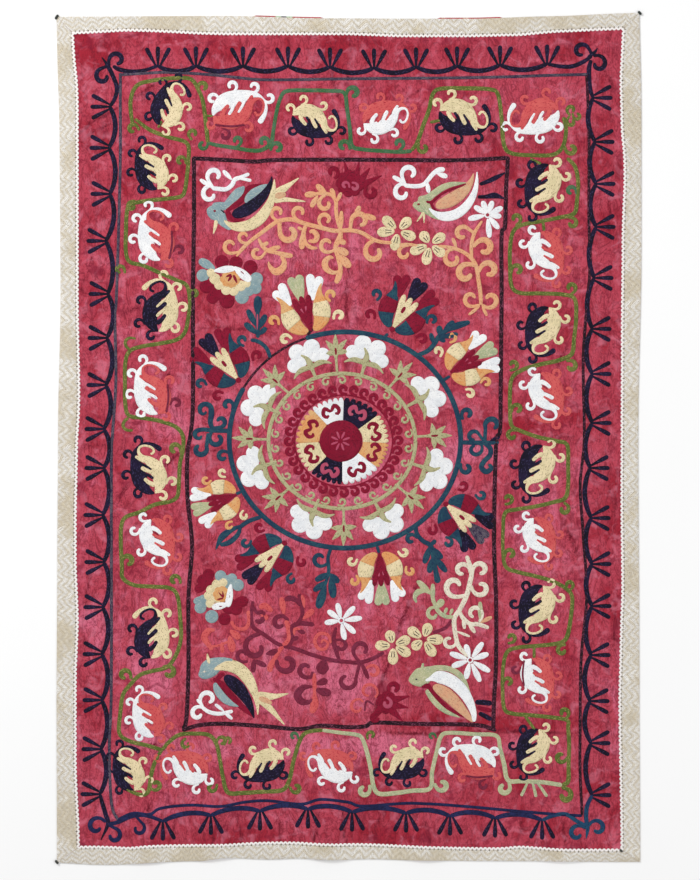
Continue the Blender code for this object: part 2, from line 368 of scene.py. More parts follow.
def add_grid(name, cells_x, cells_y):
    """A primitive grid over the unit square, and the shares (u, v) of its points."""
    deselect_all()
    bpy.ops.mesh.primitive_grid_add(x_subdivisions=cells_x, y_subdivisions=cells_y, size=1.0)
    sheet = bpy.context.active_object
    sheet.name = sheet.data.name = name
    bpy.ops.object.shade_smooth()
    places = np.empty(len(sheet.data.vertices) * 3, dtype=np.float32)
    sheet.data.vertices.foreach_get("co", places)
    shares = np.clip(places.reshape(-1, 3)[:, :2].astype(float) + 0.5, 0.0, 1.0)
    return sheet, shares[:, 0], shares[:, 1]


def move_points(sheet, x, y, z):
    places = np.column_stack((x, y, z)).astype(np.float32)
    sheet.data.vertices.foreach_set("co", places.ravel())
    sheet.data.update()


def add_attribute(thing, name, values):
    """A number for each point of a mesh, for its material to read."""
    attribute = thing.data.attributes.new(name, "FLOAT", "POINT")
    attribute.data.foreach_set("value", np.asarray(values, dtype=np.float32))


class Nodes:
    """Short calls that place and link shader nodes in one tree."""

    def __init__(self, tree):
        self.tree = tree

    def add(self, kind, settings=None, **inputs):
        node = self.tree.nodes.new(kind)
        for name, value in (settings or {}).items():
            setattr(node, name, value)
        for name, value in inputs.items():
            self.feed(node.inputs[name.replace("_", " ")], value)
        return node

    def feed(self, socket, value):
        if isinstance(value, bpy.types.NodeSocket):
            self.tree.links.new(value, socket)
        elif socket.type == "RGBA" and len(value) == 3:
            socket.default_value = (*value, 1.0)
        else:
            socket.default_value = value

    def math(self, operation, *values, clamp=False):
        node = self.tree.nodes.new("ShaderNodeMath")
        node.operation = operation
        node.use_clamp = clamp
        for socket, value in zip(node.inputs, values):
            self.feed(socket, value)
        return node.outputs[0]

    def mix(self, share, first, second, blend="MIX"):
        node = self.tree.nodes.new("ShaderNodeMix")
        node.data_type = "RGBA"
        node.blend_type = blend
        for socket, value in zip((node.inputs[0], node.inputs[6], node.inputs[7]), (share, first, second)):
            self.feed(socket, value)
        return node.outputs[2]

    def ramp(self, value, low, high):
        """The share of the way from low to high, eased."""
        node = self.add("ShaderNodeMapRange", {"interpolation_type": "SMOOTHSTEP"})
        for socket, number in zip(node.inputs, (value, low, high, 0.0, 1.0)):
            self.feed(socket, number)
        return node.outputs[0]

    def noise(self, vector, scale, detail=2.0, roughness=0.5, distortion=0.0):
        node = self.add("ShaderNodeTexNoise", Vector=vector, Scale=scale, Detail=detail)
        node.inputs["Roughness"].default_value = roughness
        node.inputs["Distortion"].default_value = distortion
        return node.outputs["Fac"]

    def scaled(self, vector, x, y, z=1.0):
        node = self.add("ShaderNodeMapping", Vector=vector)
        node.inputs["Scale"].default_value = (x, y, z)
        return node.outputs[0]

    def shaded(self, tone, light):
        """A colour made lighter or darker by a number."""
        grey = self.add("ShaderNodeCombineXYZ", X=light, Y=light, Z=light)
        return self.mix(1.0, tone, grey.outputs[0], "MULTIPLY")


def new_group(name, inputs, outputs):
    """An empty shader node group with named sockets, its helper, and its two end nodes."""
    tree = bpy.data.node_groups.new(name, "ShaderNodeTree")
    for label, kind in inputs:
        tree.interface.new_socket(name=label, in_out="INPUT", socket_type=kind)
    for label, kind in outputs:
        tree.interface.new_socket(name=label, in_out="OUTPUT", socket_type=kind)
    nodes = Nodes(tree)
    return tree, nodes, nodes.add("NodeGroupInput"), nodes.add("NodeGroupOutput")


def chain_stitch_group(settings):
    """Rows of chain stitch along a shape: its colour as it varies, with painted shade in its grooves, and
    its height.
    """
    name = "chain_stitch"
    if name in bpy.data.node_groups:
        return bpy.data.node_groups[name]
    tree, nodes, start, end = new_group(
        name,
        (
            ("Along and across", "NodeSocketVector"),
            ("Place", "NodeSocketVector"),
            ("Thread", "NodeSocketColor"),
            ("Faded", "NodeSocketColor"),
            ("Fleck", "NodeSocketColor"),
            ("Fleck share", "NodeSocketFloat"),
        ),
        (("Colour", "NodeSocketColor"), ("Height", "NodeSocketFloat")),
    )
    split = nodes.add("ShaderNodeSeparateXYZ", Vector=start.outputs["Along and across"])
    along, across = split.outputs[0], split.outputs[1]
    rows = nodes.math("DIVIDE", across, settings.row_width)
    row = nodes.math("FLOOR", rows)
    side = nodes.math("ABSOLUTE", nodes.math("SUBTRACT", nodes.math("FRACT", rows), 0.5))
    stitches = nodes.math("DIVIDE", along, settings.stitch_length)
    slanted = nodes.math("MULTIPLY_ADD", side, 0.7, stitches)
    staggered = nodes.math("MULTIPLY_ADD", row, 0.37, slanted)
    stitch = nodes.math("FLOOR", staggered)
    link = nodes.math("FRACT", staggered)
    groove = nodes.ramp(side, 0.5, 0.22)
    loop = nodes.math("MULTIPLY", nodes.ramp(link, 0.0, 0.25), nodes.ramp(link, 1.0, 0.7))
    height = nodes.math("MULTIPLY", groove, nodes.math("MULTIPLY_ADD", loop, 0.6, 0.4))
    cell = nodes.add("ShaderNodeCombineXYZ", X=stitch, Y=row)
    chance = nodes.add("ShaderNodeTexWhiteNoise", {"noise_dimensions": "2D"}, Vector=cell.outputs[0])
    patches = nodes.noise(start.outputs["Place"], 26.0, 3.0, 0.6)
    streak_at = nodes.add("ShaderNodeCombineXYZ", X=nodes.math("MULTIPLY", along, 60.0), Y=row)
    streaks = nodes.noise(streak_at.outputs[0], 1.0, 2.0)
    wear = nodes.math("MULTIPLY_ADD", streaks, 0.5, nodes.math("MULTIPLY", patches, 0.5))
    aged = nodes.ramp(wear, 0.42, 0.62)
    tone = nodes.mix(aged, start.outputs["Thread"], start.outputs["Faded"])
    is_fleck = nodes.math("LESS_THAN", chance.outputs["Value"], start.outputs["Fleck share"])
    flecked = nodes.mix(is_fleck, tone, start.outputs["Fleck"])
    # painted shade: the colour darkens where the stitch height is low, in the grooves between rows and
    # loops; lit is this painted shade plus a random tone for each stitch
    shade = nodes.math("MULTIPLY_ADD", height, 0.3, 0.74)
    lit = nodes.math("MULTIPLY_ADD", chance.outputs["Value"], 0.1, shade)
    nodes.feed(end.inputs["Colour"], nodes.shaded(flecked, lit))
    nodes.feed(end.inputs["Height"], height)
    return tree


def new_material(name, sheen, roughness):
    """A new material, its helper and its shader, whose own sockets hold what doesn't vary."""
    material = bpy.data.materials.new(name)
    material.use_nodes = True
    nodes = Nodes(material.node_tree)
    shader = material.node_tree.nodes["Principled BSDF"]
    shader.inputs["Roughness"].default_value = roughness
    shader.inputs["Sheen Weight"].default_value = sheen
    shader.inputs["Sheen Roughness"].default_value = 0.5
    shader.inputs["Specular IOR Level"].default_value = 0.15
    return material, nodes, shader


def bump(nodes, shader, height, distance, strength=1.0):
    node = nodes.add("ShaderNodeBump", Height=height, Distance=distance, Strength=strength)
    nodes.feed(shader.inputs["Normal"], node.outputs[0])


def shifted(base, share, towards):
    """A colour moved a share of the way towards another."""
    return tuple(a + (b - a) * share for a, b in zip(base, towards))


# How each thread has aged: the colour that it fades towards and how far, and the colour and share
# of the odd stitches.
Ageing = namedtuple("Ageing", "towards amount fleck fleck_share")
PLAIN = Ageing(colour(200, 190, 180), 0.1, None, 0.0)
AGEING = {
    "white": Ageing(colour(224, 230, 238), 0.5, colour(226, 226, 232), 0.05),
    "cream": Ageing(colour(220, 206, 160), 0.8, colour(192, 172, 132), 0.10),
    "navy": Ageing(colour(36, 24, 60), 0.8, colour(60, 54, 92), 0.08),
    "indigo": Ageing(colour(44, 50, 98), 0.7, colour(22, 18, 44), 0.15),
    "sea": Ageing(colour(26, 36, 84), 0.8, colour(30, 40, 60), 0.1),
    "slate": Ageing(colour(118, 106, 118), 0.7, colour(52, 40, 70), 0.3),
    "black": Ageing(colour(70, 20, 40), 0.7, colour(120, 60, 84), 0.16),
    "olive": Ageing(colour(122, 124, 62), 0.8, colour(160, 152, 88), 0.12),
    "fern": Ageing(colour(88, 122, 98), 0.8, colour(116, 124, 86), 0.1),
    "mist": Ageing(colour(156, 172, 138), 0.8, colour(214, 208, 176), 0.2),
    "coral": Ageing(colour(226, 110, 104), 0.6, colour(190, 52, 66), 0.08),
    "orange": Ageing(colour(226, 186, 132), 0.8, colour(214, 130, 84), 0.1),
    "crimson": Ageing(colour(154, 26, 58), 0.6, colour(108, 10, 40), 0.14),
    "maroon": Ageing(colour(134, 50, 78), 0.7, colour(92, 26, 48), 0.1),
    "sky": Ageing(colour(126, 154, 162), 0.8, colour(184, 196, 188), 0.12),
    "teal": Ageing(colour(46, 92, 104), 0.8, colour(24, 46, 82), 0.15),
    "sage": Ageing(colour(192, 186, 146), 0.8, colour(140, 142, 96), 0.12),
    "apricot": Ageing(colour(228, 182, 142), 0.8, colour(212, 130, 104), 0.1),
    "ivory": Ageing(colour(226, 212, 190), 0.8, colour(196, 178, 158), 0.1),
    "peach": Ageing(colour(214, 184, 146), 0.8, colour(206, 140, 116), 0.1),
}


def thread_material(context, thread):
    name = f"silk_{thread}"
    if name in bpy.data.materials:
        return bpy.data.materials[name]
    settings = context.scene.cloth_settings
    base = tuple(getattr(context.scene.cloth_threads, thread))
    age = AGEING.get(thread, PLAIN)
    material, nodes, shader = new_material(name, sheen=0.03, roughness=0.6)
    uv = nodes.add("ShaderNodeUVMap", {"uv_map": "stitches"})
    place = nodes.add("ShaderNodeTexCoord")
    stitches = nodes.add("ShaderNodeGroup", {"node_tree": chain_stitch_group(settings)})
    nodes.feed(stitches.inputs["Along and across"], uv.outputs[0])
    nodes.feed(stitches.inputs["Place"], place.outputs["Object"])
    nodes.feed(stitches.inputs["Thread"], base)
    nodes.feed(stitches.inputs["Faded"], shifted(base, age.amount, age.towards))
    nodes.feed(stitches.inputs["Fleck"], age.fleck or base)
    nodes.feed(stitches.inputs["Fleck share"], age.fleck_share)
    nodes.feed(shader.inputs["Base Color"], stitches.outputs["Colour"])
    bump(nodes, shader, stitches.outputs["Height"], 0.45 * MM, 0.8)
    return material


def cotton_material():
    """The ground: crimson cotton, washed unevenly, with painted shade, redder and darker, along its
    creases and wrinkles, and painted shade and painted highlights in patches of noise.
    """
    material, nodes, shader = new_material("crimson_cotton", sheen=0.25, roughness=0.88)
    place = nodes.add("ShaderNodeTexCoord").outputs["Object"]
    wash = nodes.add("ShaderNodeAttribute", {"attribute_name": "wash"}).outputs["Fac"]
    # painted shade beside each crease, read from the ground's crease attribute
    crease = nodes.add("ShaderNodeAttribute", {"attribute_name": "crease"}).outputs["Fac"]
    clouds = nodes.noise(place, 5.5, 4.0, 0.6, 0.4)
    mottle = nodes.noise(nodes.scaled(place, 1.0, 0.5), 34.0, 3.0, 0.6, 0.8)
    slubs_up = nodes.noise(nodes.scaled(place, 420.0, 16.0), 1.0, 2.0)
    slubs_across = nodes.noise(nodes.scaled(place, 14.0, 380.0), 1.0, 2.0)
    level = nodes.math("MULTIPLY_ADD", wash, 0.42, 0.44)
    level = nodes.math("MULTIPLY_ADD", nodes.math("SUBTRACT", clouds, 0.5), 1.5, level)
    level = nodes.math("MULTIPLY_ADD", nodes.math("SUBTRACT", mottle, 0.5), 1.1, level, clamp=True)
    red_to_rose = nodes.mix(nodes.ramp(level, 0.0, 0.5), colour(150, 28, 46), colour(178, 64, 82))
    worn = nodes.mix(nodes.ramp(level, 0.5, 1.0), red_to_rose, colour(204, 100, 126))
    wrinkles = nodes.noise(nodes.scaled(place, 1.0, 0.35), 30.0, 5.0, 0.62, 1.6)
    ridge = nodes.math("ABSOLUTE", nodes.math("SUBTRACT", wrinkles, 0.5))
    fine = nodes.noise(nodes.scaled(place, 1.0, 0.7), 85.0, 3.0, 0.6, 1.4)
    ridge = nodes.math("MINIMUM", ridge, nodes.math("ABSOLUTE", nodes.math("SUBTRACT", fine, 0.52)))
    # painted shade along the narrow ridge lines of the wrinkle noise, which also drives the bump
    wrinkle_shade = nodes.math("MULTIPLY", nodes.ramp(ridge, 0.036, 0.0), 0.68)
    # the painted shade of creases and wrinkles together, mixed towards a dark red
    dark = nodes.math("ADD", crease, wrinkle_shade, clamp=True)
    cotton_with_painted_light = nodes.mix(dark, worn, colour(98, 8, 30))
    # painted highlight: pale patches of noise that stand for the lit ridges of wrinkles
    ridge_highlight = nodes.ramp(nodes.noise(place, 26.0, 3.0, 0.6, 0.8), 0.5, 0.72)
    cotton_with_painted_light = nodes.mix(nodes.math("MULTIPLY", ridge_highlight, 0.46), cotton_with_painted_light, colour(208, 118, 140))
    # painted shade: darker patches of noise that stand for the hollows of wrinkles
    hollow_shade = nodes.ramp(nodes.noise(nodes.scaled(place, 0.7, 1.0), 31.0, 4.0, 0.6, 1.0), 0.46, 0.3)
    cotton_with_painted_light = nodes.mix(nodes.math("MULTIPLY", hollow_shade, 0.62), cotton_with_painted_light, colour(118, 16, 44))
    slub = nodes.math("ADD", slubs_up, slubs_across)
    lit = nodes.math("MULTIPLY_ADD", slub, 0.26, 0.84)
    nodes.feed(shader.inputs["Base Color"], nodes.shaded(cotton_with_painted_light, lit))
    folds = nodes.math("MULTIPLY_ADD", slub, 0.06, wrinkles)
    bump(nodes, shader, folds, 3.4 * MM)
    return material


def print_material():
    """The lining: red cotton printed with large pale and dark patches and small sprigs."""
    material, nodes, shader = new_material("printed_cotton", sheen=0.2, roughness=0.88)
    place = nodes.add("ShaderNodeTexCoord").outputs["Object"]
    blooms = nodes.add("ShaderNodeTexVoronoi", {"voronoi_dimensions": "2D"}, Vector=place, Scale=9.0)
    petals = nodes.noise(place, 46.0, 3.0, 0.6)
    reach = nodes.math("MULTIPLY_ADD", petals, 0.28, blooms.outputs["Distance"])
    pale = nodes.ramp(reach, 0.36, 0.32)
    core = nodes.ramp(reach, 0.22, 0.19)
    ground = nodes.mix(nodes.noise(place, 7.0, 3.0), colour(168, 28, 44), colour(190, 52, 64))
    flowers = nodes.mix(pale, ground, colour(176, 200, 164))
    printed = nodes.mix(core, flowers, colour(54, 44, 52))
    sprigs = nodes.add("ShaderNodeTexVoronoi", {"voronoi_dimensions": "2D"}, Vector=place, Scale=38.0)
    dots = nodes.ramp(sprigs.outputs["Distance"], 0.16, 0.12)
    dotted = nodes.mix(nodes.math("MULTIPLY", dots, 0.7), printed, colour(214, 180, 150))
    weave = nodes.noise(nodes.scaled(place, 900.0, 900.0), 1.0)
    nodes.feed(shader.inputs["Base Color"], dotted)
    bump(nodes, shader, weave, 0.3 * MM, 0.5)
    return material


def brocade_material():
    """The binding: ivory satin with woven zigzags of beige, grey and dull gold, and painted shade along
    its seam.
    """
    material, nodes, shader = new_material("zigzag_brocade", sheen=0.3, roughness=0.55)
    uv = nodes.add("ShaderNodeUVMap", {"uv_map": "strip"}).outputs[0]
    place = nodes.add("ShaderNodeTexCoord").outputs["Object"]
    split = nodes.add("ShaderNodeSeparateXYZ", Vector=uv)
    wobble = nodes.noise(place, 30.0, 2.0)
    along = nodes.math("MULTIPLY_ADD", wobble, 0.02, split.outputs[0])
    across = nodes.math("MULTIPLY_ADD", nodes.noise(place, 22.0, 2.0), 0.016, split.outputs[1])
    wave = nodes.math("PINGPONG", along, 0.017)
    chevron = nodes.math("SUBTRACT", across, nodes.math("MULTIPLY", wave, 1.1))
    fine = nodes.math("FRACT", nodes.math("DIVIDE", chevron, 0.0046))
    broad = nodes.math("FRACT", nodes.math("DIVIDE", chevron, 0.0175))
    fine_line = nodes.math("MULTIPLY", nodes.ramp(fine, 0.0, 0.2), nodes.ramp(fine, 0.75, 0.5))
    broad_band = nodes.math("MULTIPLY", nodes.ramp(broad, 0.0, 0.2), nodes.ramp(broad, 0.62, 0.45))
    patches = nodes.ramp(nodes.noise(place, 7.0, 3.0, 0.6), 0.48, 0.6)
    pale = nodes.mix(nodes.noise(place, 16.0, 2.0), colour(255, 253, 248), colour(232, 227, 220))
    gold = nodes.mix(nodes.noise(place, 60.0, 2.0), colour(224, 210, 180), colour(202, 188, 160))
    base = nodes.mix(nodes.math("MULTIPLY", broad_band, 0.6), pale, gold)
    base = nodes.mix(nodes.math("MULTIPLY", patches, 0.65), base, gold)
    threads = nodes.noise(nodes.scaled(uv, 500.0, 90.0), 1.0, 2.0, 0.7)
    lines = nodes.math("MULTIPLY", fine_line, nodes.ramp(threads, 0.36, 0.62))
    worn = nodes.mix(nodes.math("MULTIPLY", lines, 0.75), base, colour(150, 134, 112))
    # painted shade: the colour darkens over the first 6 mm from the seam, beside and under the trim
    edge = nodes.ramp(split.outputs[1], 0.0, 0.006)
    nodes.feed(shader.inputs["Base Color"], nodes.mix(edge, colour(170, 158, 140), worn))
    rough = nodes.math("MULTIPLY", nodes.noise(place, 55.0, 4.0, 0.6, 0.8), 2.2)
    relief = nodes.math("ADD", fine_line, rough)
    bump(nodes, shader, relief, 0.8 * MM, 0.8)
    return material


def braid_material():
    """The trim: white cotton braid, plaited on the slant and a little soiled, with painted shade between
    its strands.
    """
    material, nodes, shader = new_material("white_braid", sheen=0.1, roughness=0.8)
    uv = nodes.add("ShaderNodeUVMap", {"uv_map": "stitches"}).outputs[0]
    split = nodes.add("ShaderNodeSeparateXYZ", Vector=uv)
    side = nodes.math("ABSOLUTE", split.outputs[1])
    slant = nodes.math("MULTIPLY_ADD", side, 1.2, split.outputs[0])
    plait = nodes.math("FRACT", nodes.math("DIVIDE", slant, 1.6 * MM))
    height = nodes.math("MULTIPLY", nodes.ramp(plait, 0.0, 0.3), nodes.ramp(plait, 1.0, 0.7))
    place = nodes.add("ShaderNodeTexCoord").outputs["Object"]
    soil = nodes.noise(place, 40.0, 2.0)
    base = nodes.mix(nodes.math("MULTIPLY", soil, 0.25), colour(255, 252, 250), colour(226, 206, 204))
    # painted shade: darker where the plait is low, between its strands
    gaps = nodes.math("MULTIPLY_ADD", height, -0.2, 0.2)
    nodes.feed(shader.inputs["Base Color"], nodes.mix(gaps, base, colour(180, 160, 156)))
    bump(nodes, shader, height, 0.3 * MM, 0.6)
    return material


def dot_material():
    """The dark dots in the gaps of the zigzag, mottled by a fine noise."""
    material, nodes, shader = new_material("dark_thread", sheen=0.1, roughness=0.7)
    place = nodes.add("ShaderNodeTexCoord").outputs["Object"]
    twist = nodes.noise(nodes.scaled(place, 900.0, 900.0, 900.0), 1.0, 2.0)
    nodes.feed(shader.inputs["Base Color"], nodes.mix(twist, colour(40, 34, 34), colour(84, 76, 72)))
    bump(nodes, shader, twist, 0.3 * MM)
    return material


def floor_material():
    material, nodes, shader = new_material("pale_floor", sheen=0.0, roughness=0.9)
    place = nodes.add("ShaderNodeTexCoord").outputs["Object"]
    grain = nodes.noise(place, 3.0, 2.0)
    nodes.feed(shader.inputs["Base Color"], nodes.mix(grain, (0.96, 0.96, 0.96), (0.98, 0.98, 0.98)))
    return material


# Stitched shapes


Place = namedtuple("Place", "x y turn size flip", defaults=(0.0, 1.0, False))


def put(rows, place):
    """Rows drawn about their own origin, with y up, set at a place on the layout."""
    rows = np.array(rows, dtype=float)
    if place is None:
        return rows
    angle = math.radians(place.turn)
    x = rows[:, 0] * (-1.0 if place.flip else 1.0)
    y = rows[:, 1].copy()
    rows[:, 0] = place.x + place.size * (x * math.cos(angle) - y * math.sin(angle))
    rows[:, 1] = place.y - place.size * (x * math.sin(angle) + y * math.cos(angle))
    if rows.shape[1] > 2:
        rows[:, 2] *= place.size
    return rows


# The longest steps along a path, a stitched line and the edge of a disc, in squares.
PATH_STEP = 1.3
LINE_STEP = 1.4
DISC_STEP = 1.8

# The half width, in squares, from which a line rises to its full height, and how far the sides of
# a stitched shape reach down into the cloth.
FULL_HALF = 1.6
SKIRT = 0.5 * MM


def smooth_path(rows):
    """A smooth path through the rows."""
    ends = with_ends(rows)
    parts = []
    for before, start, end, after in zip(ends, ends[1:], ends[2:], ends[3:]):
        count = max(2, math.ceil(math.hypot(*(end - start)[:2]) / PATH_STEP))
        part = np.linspace(0.0, 1.0, count, endpoint=False)[:, None]
        parts.append(curve_between(before, start, end, after, part))
    parts.append(rows[-1:])
    return np.vstack(parts)


# The points across a stitched line, as shares of its half width, and the rise at each.
COLUMNS = np.array((-1.0, -0.72, 0.0, 0.72, 1.0))
COLUMN_RISE = 1.0 - COLUMNS**4

# How far a coil winds once it has swung away from its stem, in degrees.
COIL_WOUND = 280.0


class Needlework:
    """Stitched shapes gathered by thread, and made into one piece for each thread."""

    made = []

    def __init__(self, name):
        self.name = name
        self.patches = {}

    def patch(self, thread, places, along, across, rise, layer):
        """Adds a grid of points (rows, columns, 2) that is raised by a share at each point."""
        settings = bpy.context.scene.cloth_settings
        spread = [(1, 1), (1, 1)]
        places = np.stack([np.pad(places[:, :, axis], spread, "edge") for axis in (0, 1)], axis=-1)
        edge = settings.stitch_edge + settings.layer_step * layer
        height = np.pad(edge + settings.stitch_rise * rise, spread, constant_values=-SKIRT)
        uv = np.stack((np.pad(along, spread, "edge"), np.pad(across, spread, "edge")), axis=-1)
        rows, columns = height.shape
        run = places[1:, :-1] - places[:-1, :-1]
        side = places[:-1, 1:] - places[:-1, :-1]
        if (run[..., 0] * side[..., 1] - run[..., 1] * side[..., 0]).sum() < 0:
            places, height, uv = places[:, ::-1], height[:, ::-1], uv[:, ::-1]
        self.patches.setdefault(thread, []).append(
            (places.reshape(-1, 2), height.ravel(), uv.reshape(-1, 2), rows, columns)
        )

    def line(self, thread, rows, layer=0, place=None, caps=(True, True), span=(0.0, 1.0)):
        """A stitched line or leaf along rows (x, y, width), rounded off where it is capped."""
        path = smooth_path(put(rows, place))
        run = distances(path[:, :2])
        start, end = run[-1] * span[0], run[-1] * span[1]
        stations = [np.linspace(start, end, max(3, math.ceil((end - start) / LINE_STEP)))]
        radii = [max(0.3, np.interp(at, run, path[:, 2]) / 2) for at in (start, end)]
        radii = [min(radius, (end - start) / 2) for radius in radii]
        near = np.array((0.1, 0.35, 0.7, 1.0))
        if caps[0]:
            stations.append(start + radii[0] * near)
        if caps[1]:
            stations.append(end - radii[1] * near)
        at = np.unique(np.round(np.concatenate(stations), 3))
        centre = np.column_stack([np.interp(at, run, path[:, axis]) for axis in (0, 1)])
        half = np.maximum(np.interp(at, run, path[:, 2]) / 2, 0.1)
        ahead, behind = np.clip(at + 0.6, start, end), np.clip(at - 0.6, start, end)
        heading = np.column_stack([
            np.interp(ahead, run, path[:, axis]) - np.interp(behind, run, path[:, axis])
            for axis in (0, 1)
        ])
        heading /= np.maximum(np.hypot(*heading.T), 1e-6)[:, None]
        for is_capped, radius, reach in zip(caps, radii, (at - start, end - at)):
            if is_capped:
                inside = 1.0 - np.clip(reach / radius, 0.0, 1.0)
                half = half * np.sqrt(np.maximum(1.0 - inside**2, 0.0))
        offset = half[:, None] * COLUMNS[None, :]
        places = np.stack(
            (centre[:, :1] - heading[:, 1:] * offset, centre[:, 1:] + heading[:, :1] * offset), axis=-1
        )
        full = np.minimum(half / FULL_HALF, 1.0)[:, None] * COLUMN_RISE[None, :]
        along = np.repeat(at[:, None], len(COLUMNS), axis=1) * SQUARE
        self.patch(thread, places, along, offset * SQUARE, full, layer)

    def fan(self, thread, x, y, inner, outer, start=0.0, sweep=360.0, layer=0, place=None,
            lobes=0, notch=0.12, squash=1.0):
        """A stitched disc, ring or sector, whose outer edge may be cut into round lobes."""
        count = max(12, lobes * 6, math.ceil(abs(math.radians(sweep)) * outer / DISC_STEP))
        share = np.linspace(0.0, 1.0, count + 1)
        angle = np.radians(start + sweep * share)
        edge = np.full(count + 1, 1.0)
        if lobes:
            edge = 1.0 - notch + notch * np.sqrt(np.abs(np.sin(math.pi * lobes * share)))
        if inner > 0.0:
            depth = np.array((0.0, 0.12, 0.5, 0.88, 1.0))
            rise = np.array((0.0, 0.8, 1.0, 0.8, 0.0))
        else:
            depth = np.array((0.0, 0.3, 0.62, 0.86, 1.0))
            rise = np.array((1.0, 0.97, 0.88, 0.68, 0.0))
        radius = inner + (outer * edge[None, :] - inner) * depth[:, None]
        # Angles are anticlockwise, and y counts down on the layout but up in a motif of its own.
        tall = squash if place else -squash
        rows = np.column_stack(
            ((x + radius * np.cos(angle)).ravel(), (y + tall * radius * np.sin(angle)).ravel())
        )
        places = put(rows, place).reshape(len(depth), count + 1, 2)
        lifts = np.repeat(rise[:, None], count + 1, axis=1)
        if abs(sweep) < 360.0:
            lifts = lifts * np.minimum(1.0, np.minimum(share, 1.0 - share) * count / 2)[None, :]
        along = radius * angle[None, :] * SQUARE
        self.patch(thread, places, along, radius * SQUARE, lifts, layer)

    def curl(self, thread, x, y, facing, turn, size=4.8, layer=0, place=None, wide=1.0, wound=290.0):
        """A hooked curl about (x, y) that leaves its root at the facing angle, in degrees."""
        rows = []
        for share in (-0.12, 0.0, 0.12, 0.26, 0.4, 0.55, 0.7, 0.85, 1.0):
            angle = math.radians(facing + turn * wound * share)
            reach = size * (1.02 - 0.58 * share) if share >= 0 else size * 1.35
            width = size * wide * (0.42 + 0.5 * math.sin(math.pi * min(1.0, 0.12 + 0.75 * max(share, 0))))
            rows.append((x + reach * math.cos(angle), y + reach * math.sin(angle), width))
        self.line(thread, rows, layer, place)

    def coil(self, thread, root_x, root_y, x, y, radius, turn, width):
        """A coil that leaves its stem at a root on the layout and winds about a middle point."""
        start = math.atan2(root_y - y, root_x - x) - turn * math.radians(35)
        rows = [(root_x, root_y, 0.68 * width)]
        for share in np.linspace(0.0, 1.0, 9):
            angle = start - turn * math.radians(COIL_WOUND) * share
            reach = radius * (1.0 + 0.28 * (1.0 - share) ** 4 - 0.42 * share**3)
            swell = 0.55 + 0.45 * math.sin(math.pi * (0.1 + 0.85 * share))
            rows.append((x + reach * math.cos(angle), y + reach * math.sin(angle), width * swell))
        self.line(thread, rows)

    def make(self, context):
        """Makes a piece for each thread, on the cloth's own folds."""
        for thread, patches in self.patches.items():
            places = np.vstack([patch[0] for patch in patches])
            x, y = to_metres(places[:, 0], places[:, 1])
            height = np.concatenate([patch[1] for patch in patches])
            uvs = np.vstack([patch[2] for patch in patches])
            faces, start = [], 0
            for *_, rows, columns in patches:
                faces.append(grid_faces(rows, columns, start))
                start += rows * columns
            points = np.column_stack((x, y, CLOTH_TOP + surface(x, y) + height))
            piece = mesh_object(f"{self.name}_{thread}", points, np.vstack(faces), uvs)
            piece.data.materials.append(thread_material(context, thread))
            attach(piece, "root")
            Needlework.made.append(piece)
        return {"FINISHED"}


# The border


# Where the three-leaf sprays stand along each side of the border vine, and how far the vine
# swings in between them.
Sprays = namedtuple("Sprays", "thread outward swing bases")
BORDER = (
    Sprays("navy", (0, -1), 5.5, (
        (158, 66), (196, 66), (243, 66), (288, 66), (330, 67), (374, 68), (416, 67), (457, 66),
        (500, 65), (547, 64),
    )),
    Sprays("navy", (-1, 0), 6.0, (
        (110, 107), (109, 148), (110, 194), (106, 241), (108, 294), (107, 338), (106, 385),
        (104, 429), (104, 468), (103, 515), (104, 562), (103, 607), (102, 654), (102, 700),
        (101, 749), (100, 794),
    )),
    Sprays("navy", (1, 0), 6.0, (
        (593, 98), (595, 142), (596, 184), (596, 227), (594, 278), (592, 329), (592, 374),
        (592, 423), (590, 468), (591, 518), (592, 564), (592, 606), (591, 655), (590, 701),
        (591, 743), (592, 795),
    )),
    Sprays("indigo", (0, 1), 4.8, (
        (163, 821), (211, 815), (260, 811), (308, 809), (352, 812), (406, 813), (450, 816),
        (495, 818), (542, 820),
    )),
)

# A line given row by row: its thread, its layer, and its rows (x, y, width).
Line = namedtuple("Line", "thread layer rows")
CORNERS = by_thread(Line, {
    "navy": (
        (0, (
            (102, 57.5, 1), (106, 63, 3), (109, 68, 4.4), (113, 76, 4.4), (117, 88, 4.4),
            (115, 99, 4), (110, 107, 3.6),
        )),
        (0, ((113, 66, 3.4), (119, 69.5, 4.4), (130, 71.5, 4.2), (144, 70.5, 3.6), (158, 66, 3.4))),
        (0, ((597.5, 48, 0.6), (595, 52, 3), (590, 56, 3.6), (586.5, 61, 3.4))),
        (0, ((592, 56, 3.2), (583, 62, 4.2), (572, 66.5, 4.4), (560, 66.5, 4), (547, 64, 3.4))),
        (0, ((591, 60, 3.4), (589, 68, 4.6), (589, 78, 4.6), (590, 89, 4.4), (593, 98, 3.6))),
        (0, ((100, 794, 3.4), (103, 805, 4.4), (106, 815, 4.6), (108, 824, 4.2), (101, 840, 1))),
    ),
    "indigo": (
        (0, ((108, 824, 3.4), (118, 822, 4.2), (132, 816, 4.2), (146, 815, 4), (163, 821, 3.4))),
    ),
    "sea": (
        (0, (
            (586, 838.5, 0.8), (587, 833, 3), (587.5, 827, 4.2), (586, 818, 4.4), (587, 806, 4.4),
            (592, 795, 3.6),
        )),
        (0, ((587, 826, 3.4), (577, 821, 4), (566, 814, 4.2), (554, 815, 4), (542, 820, 3.4))),
    ),
})
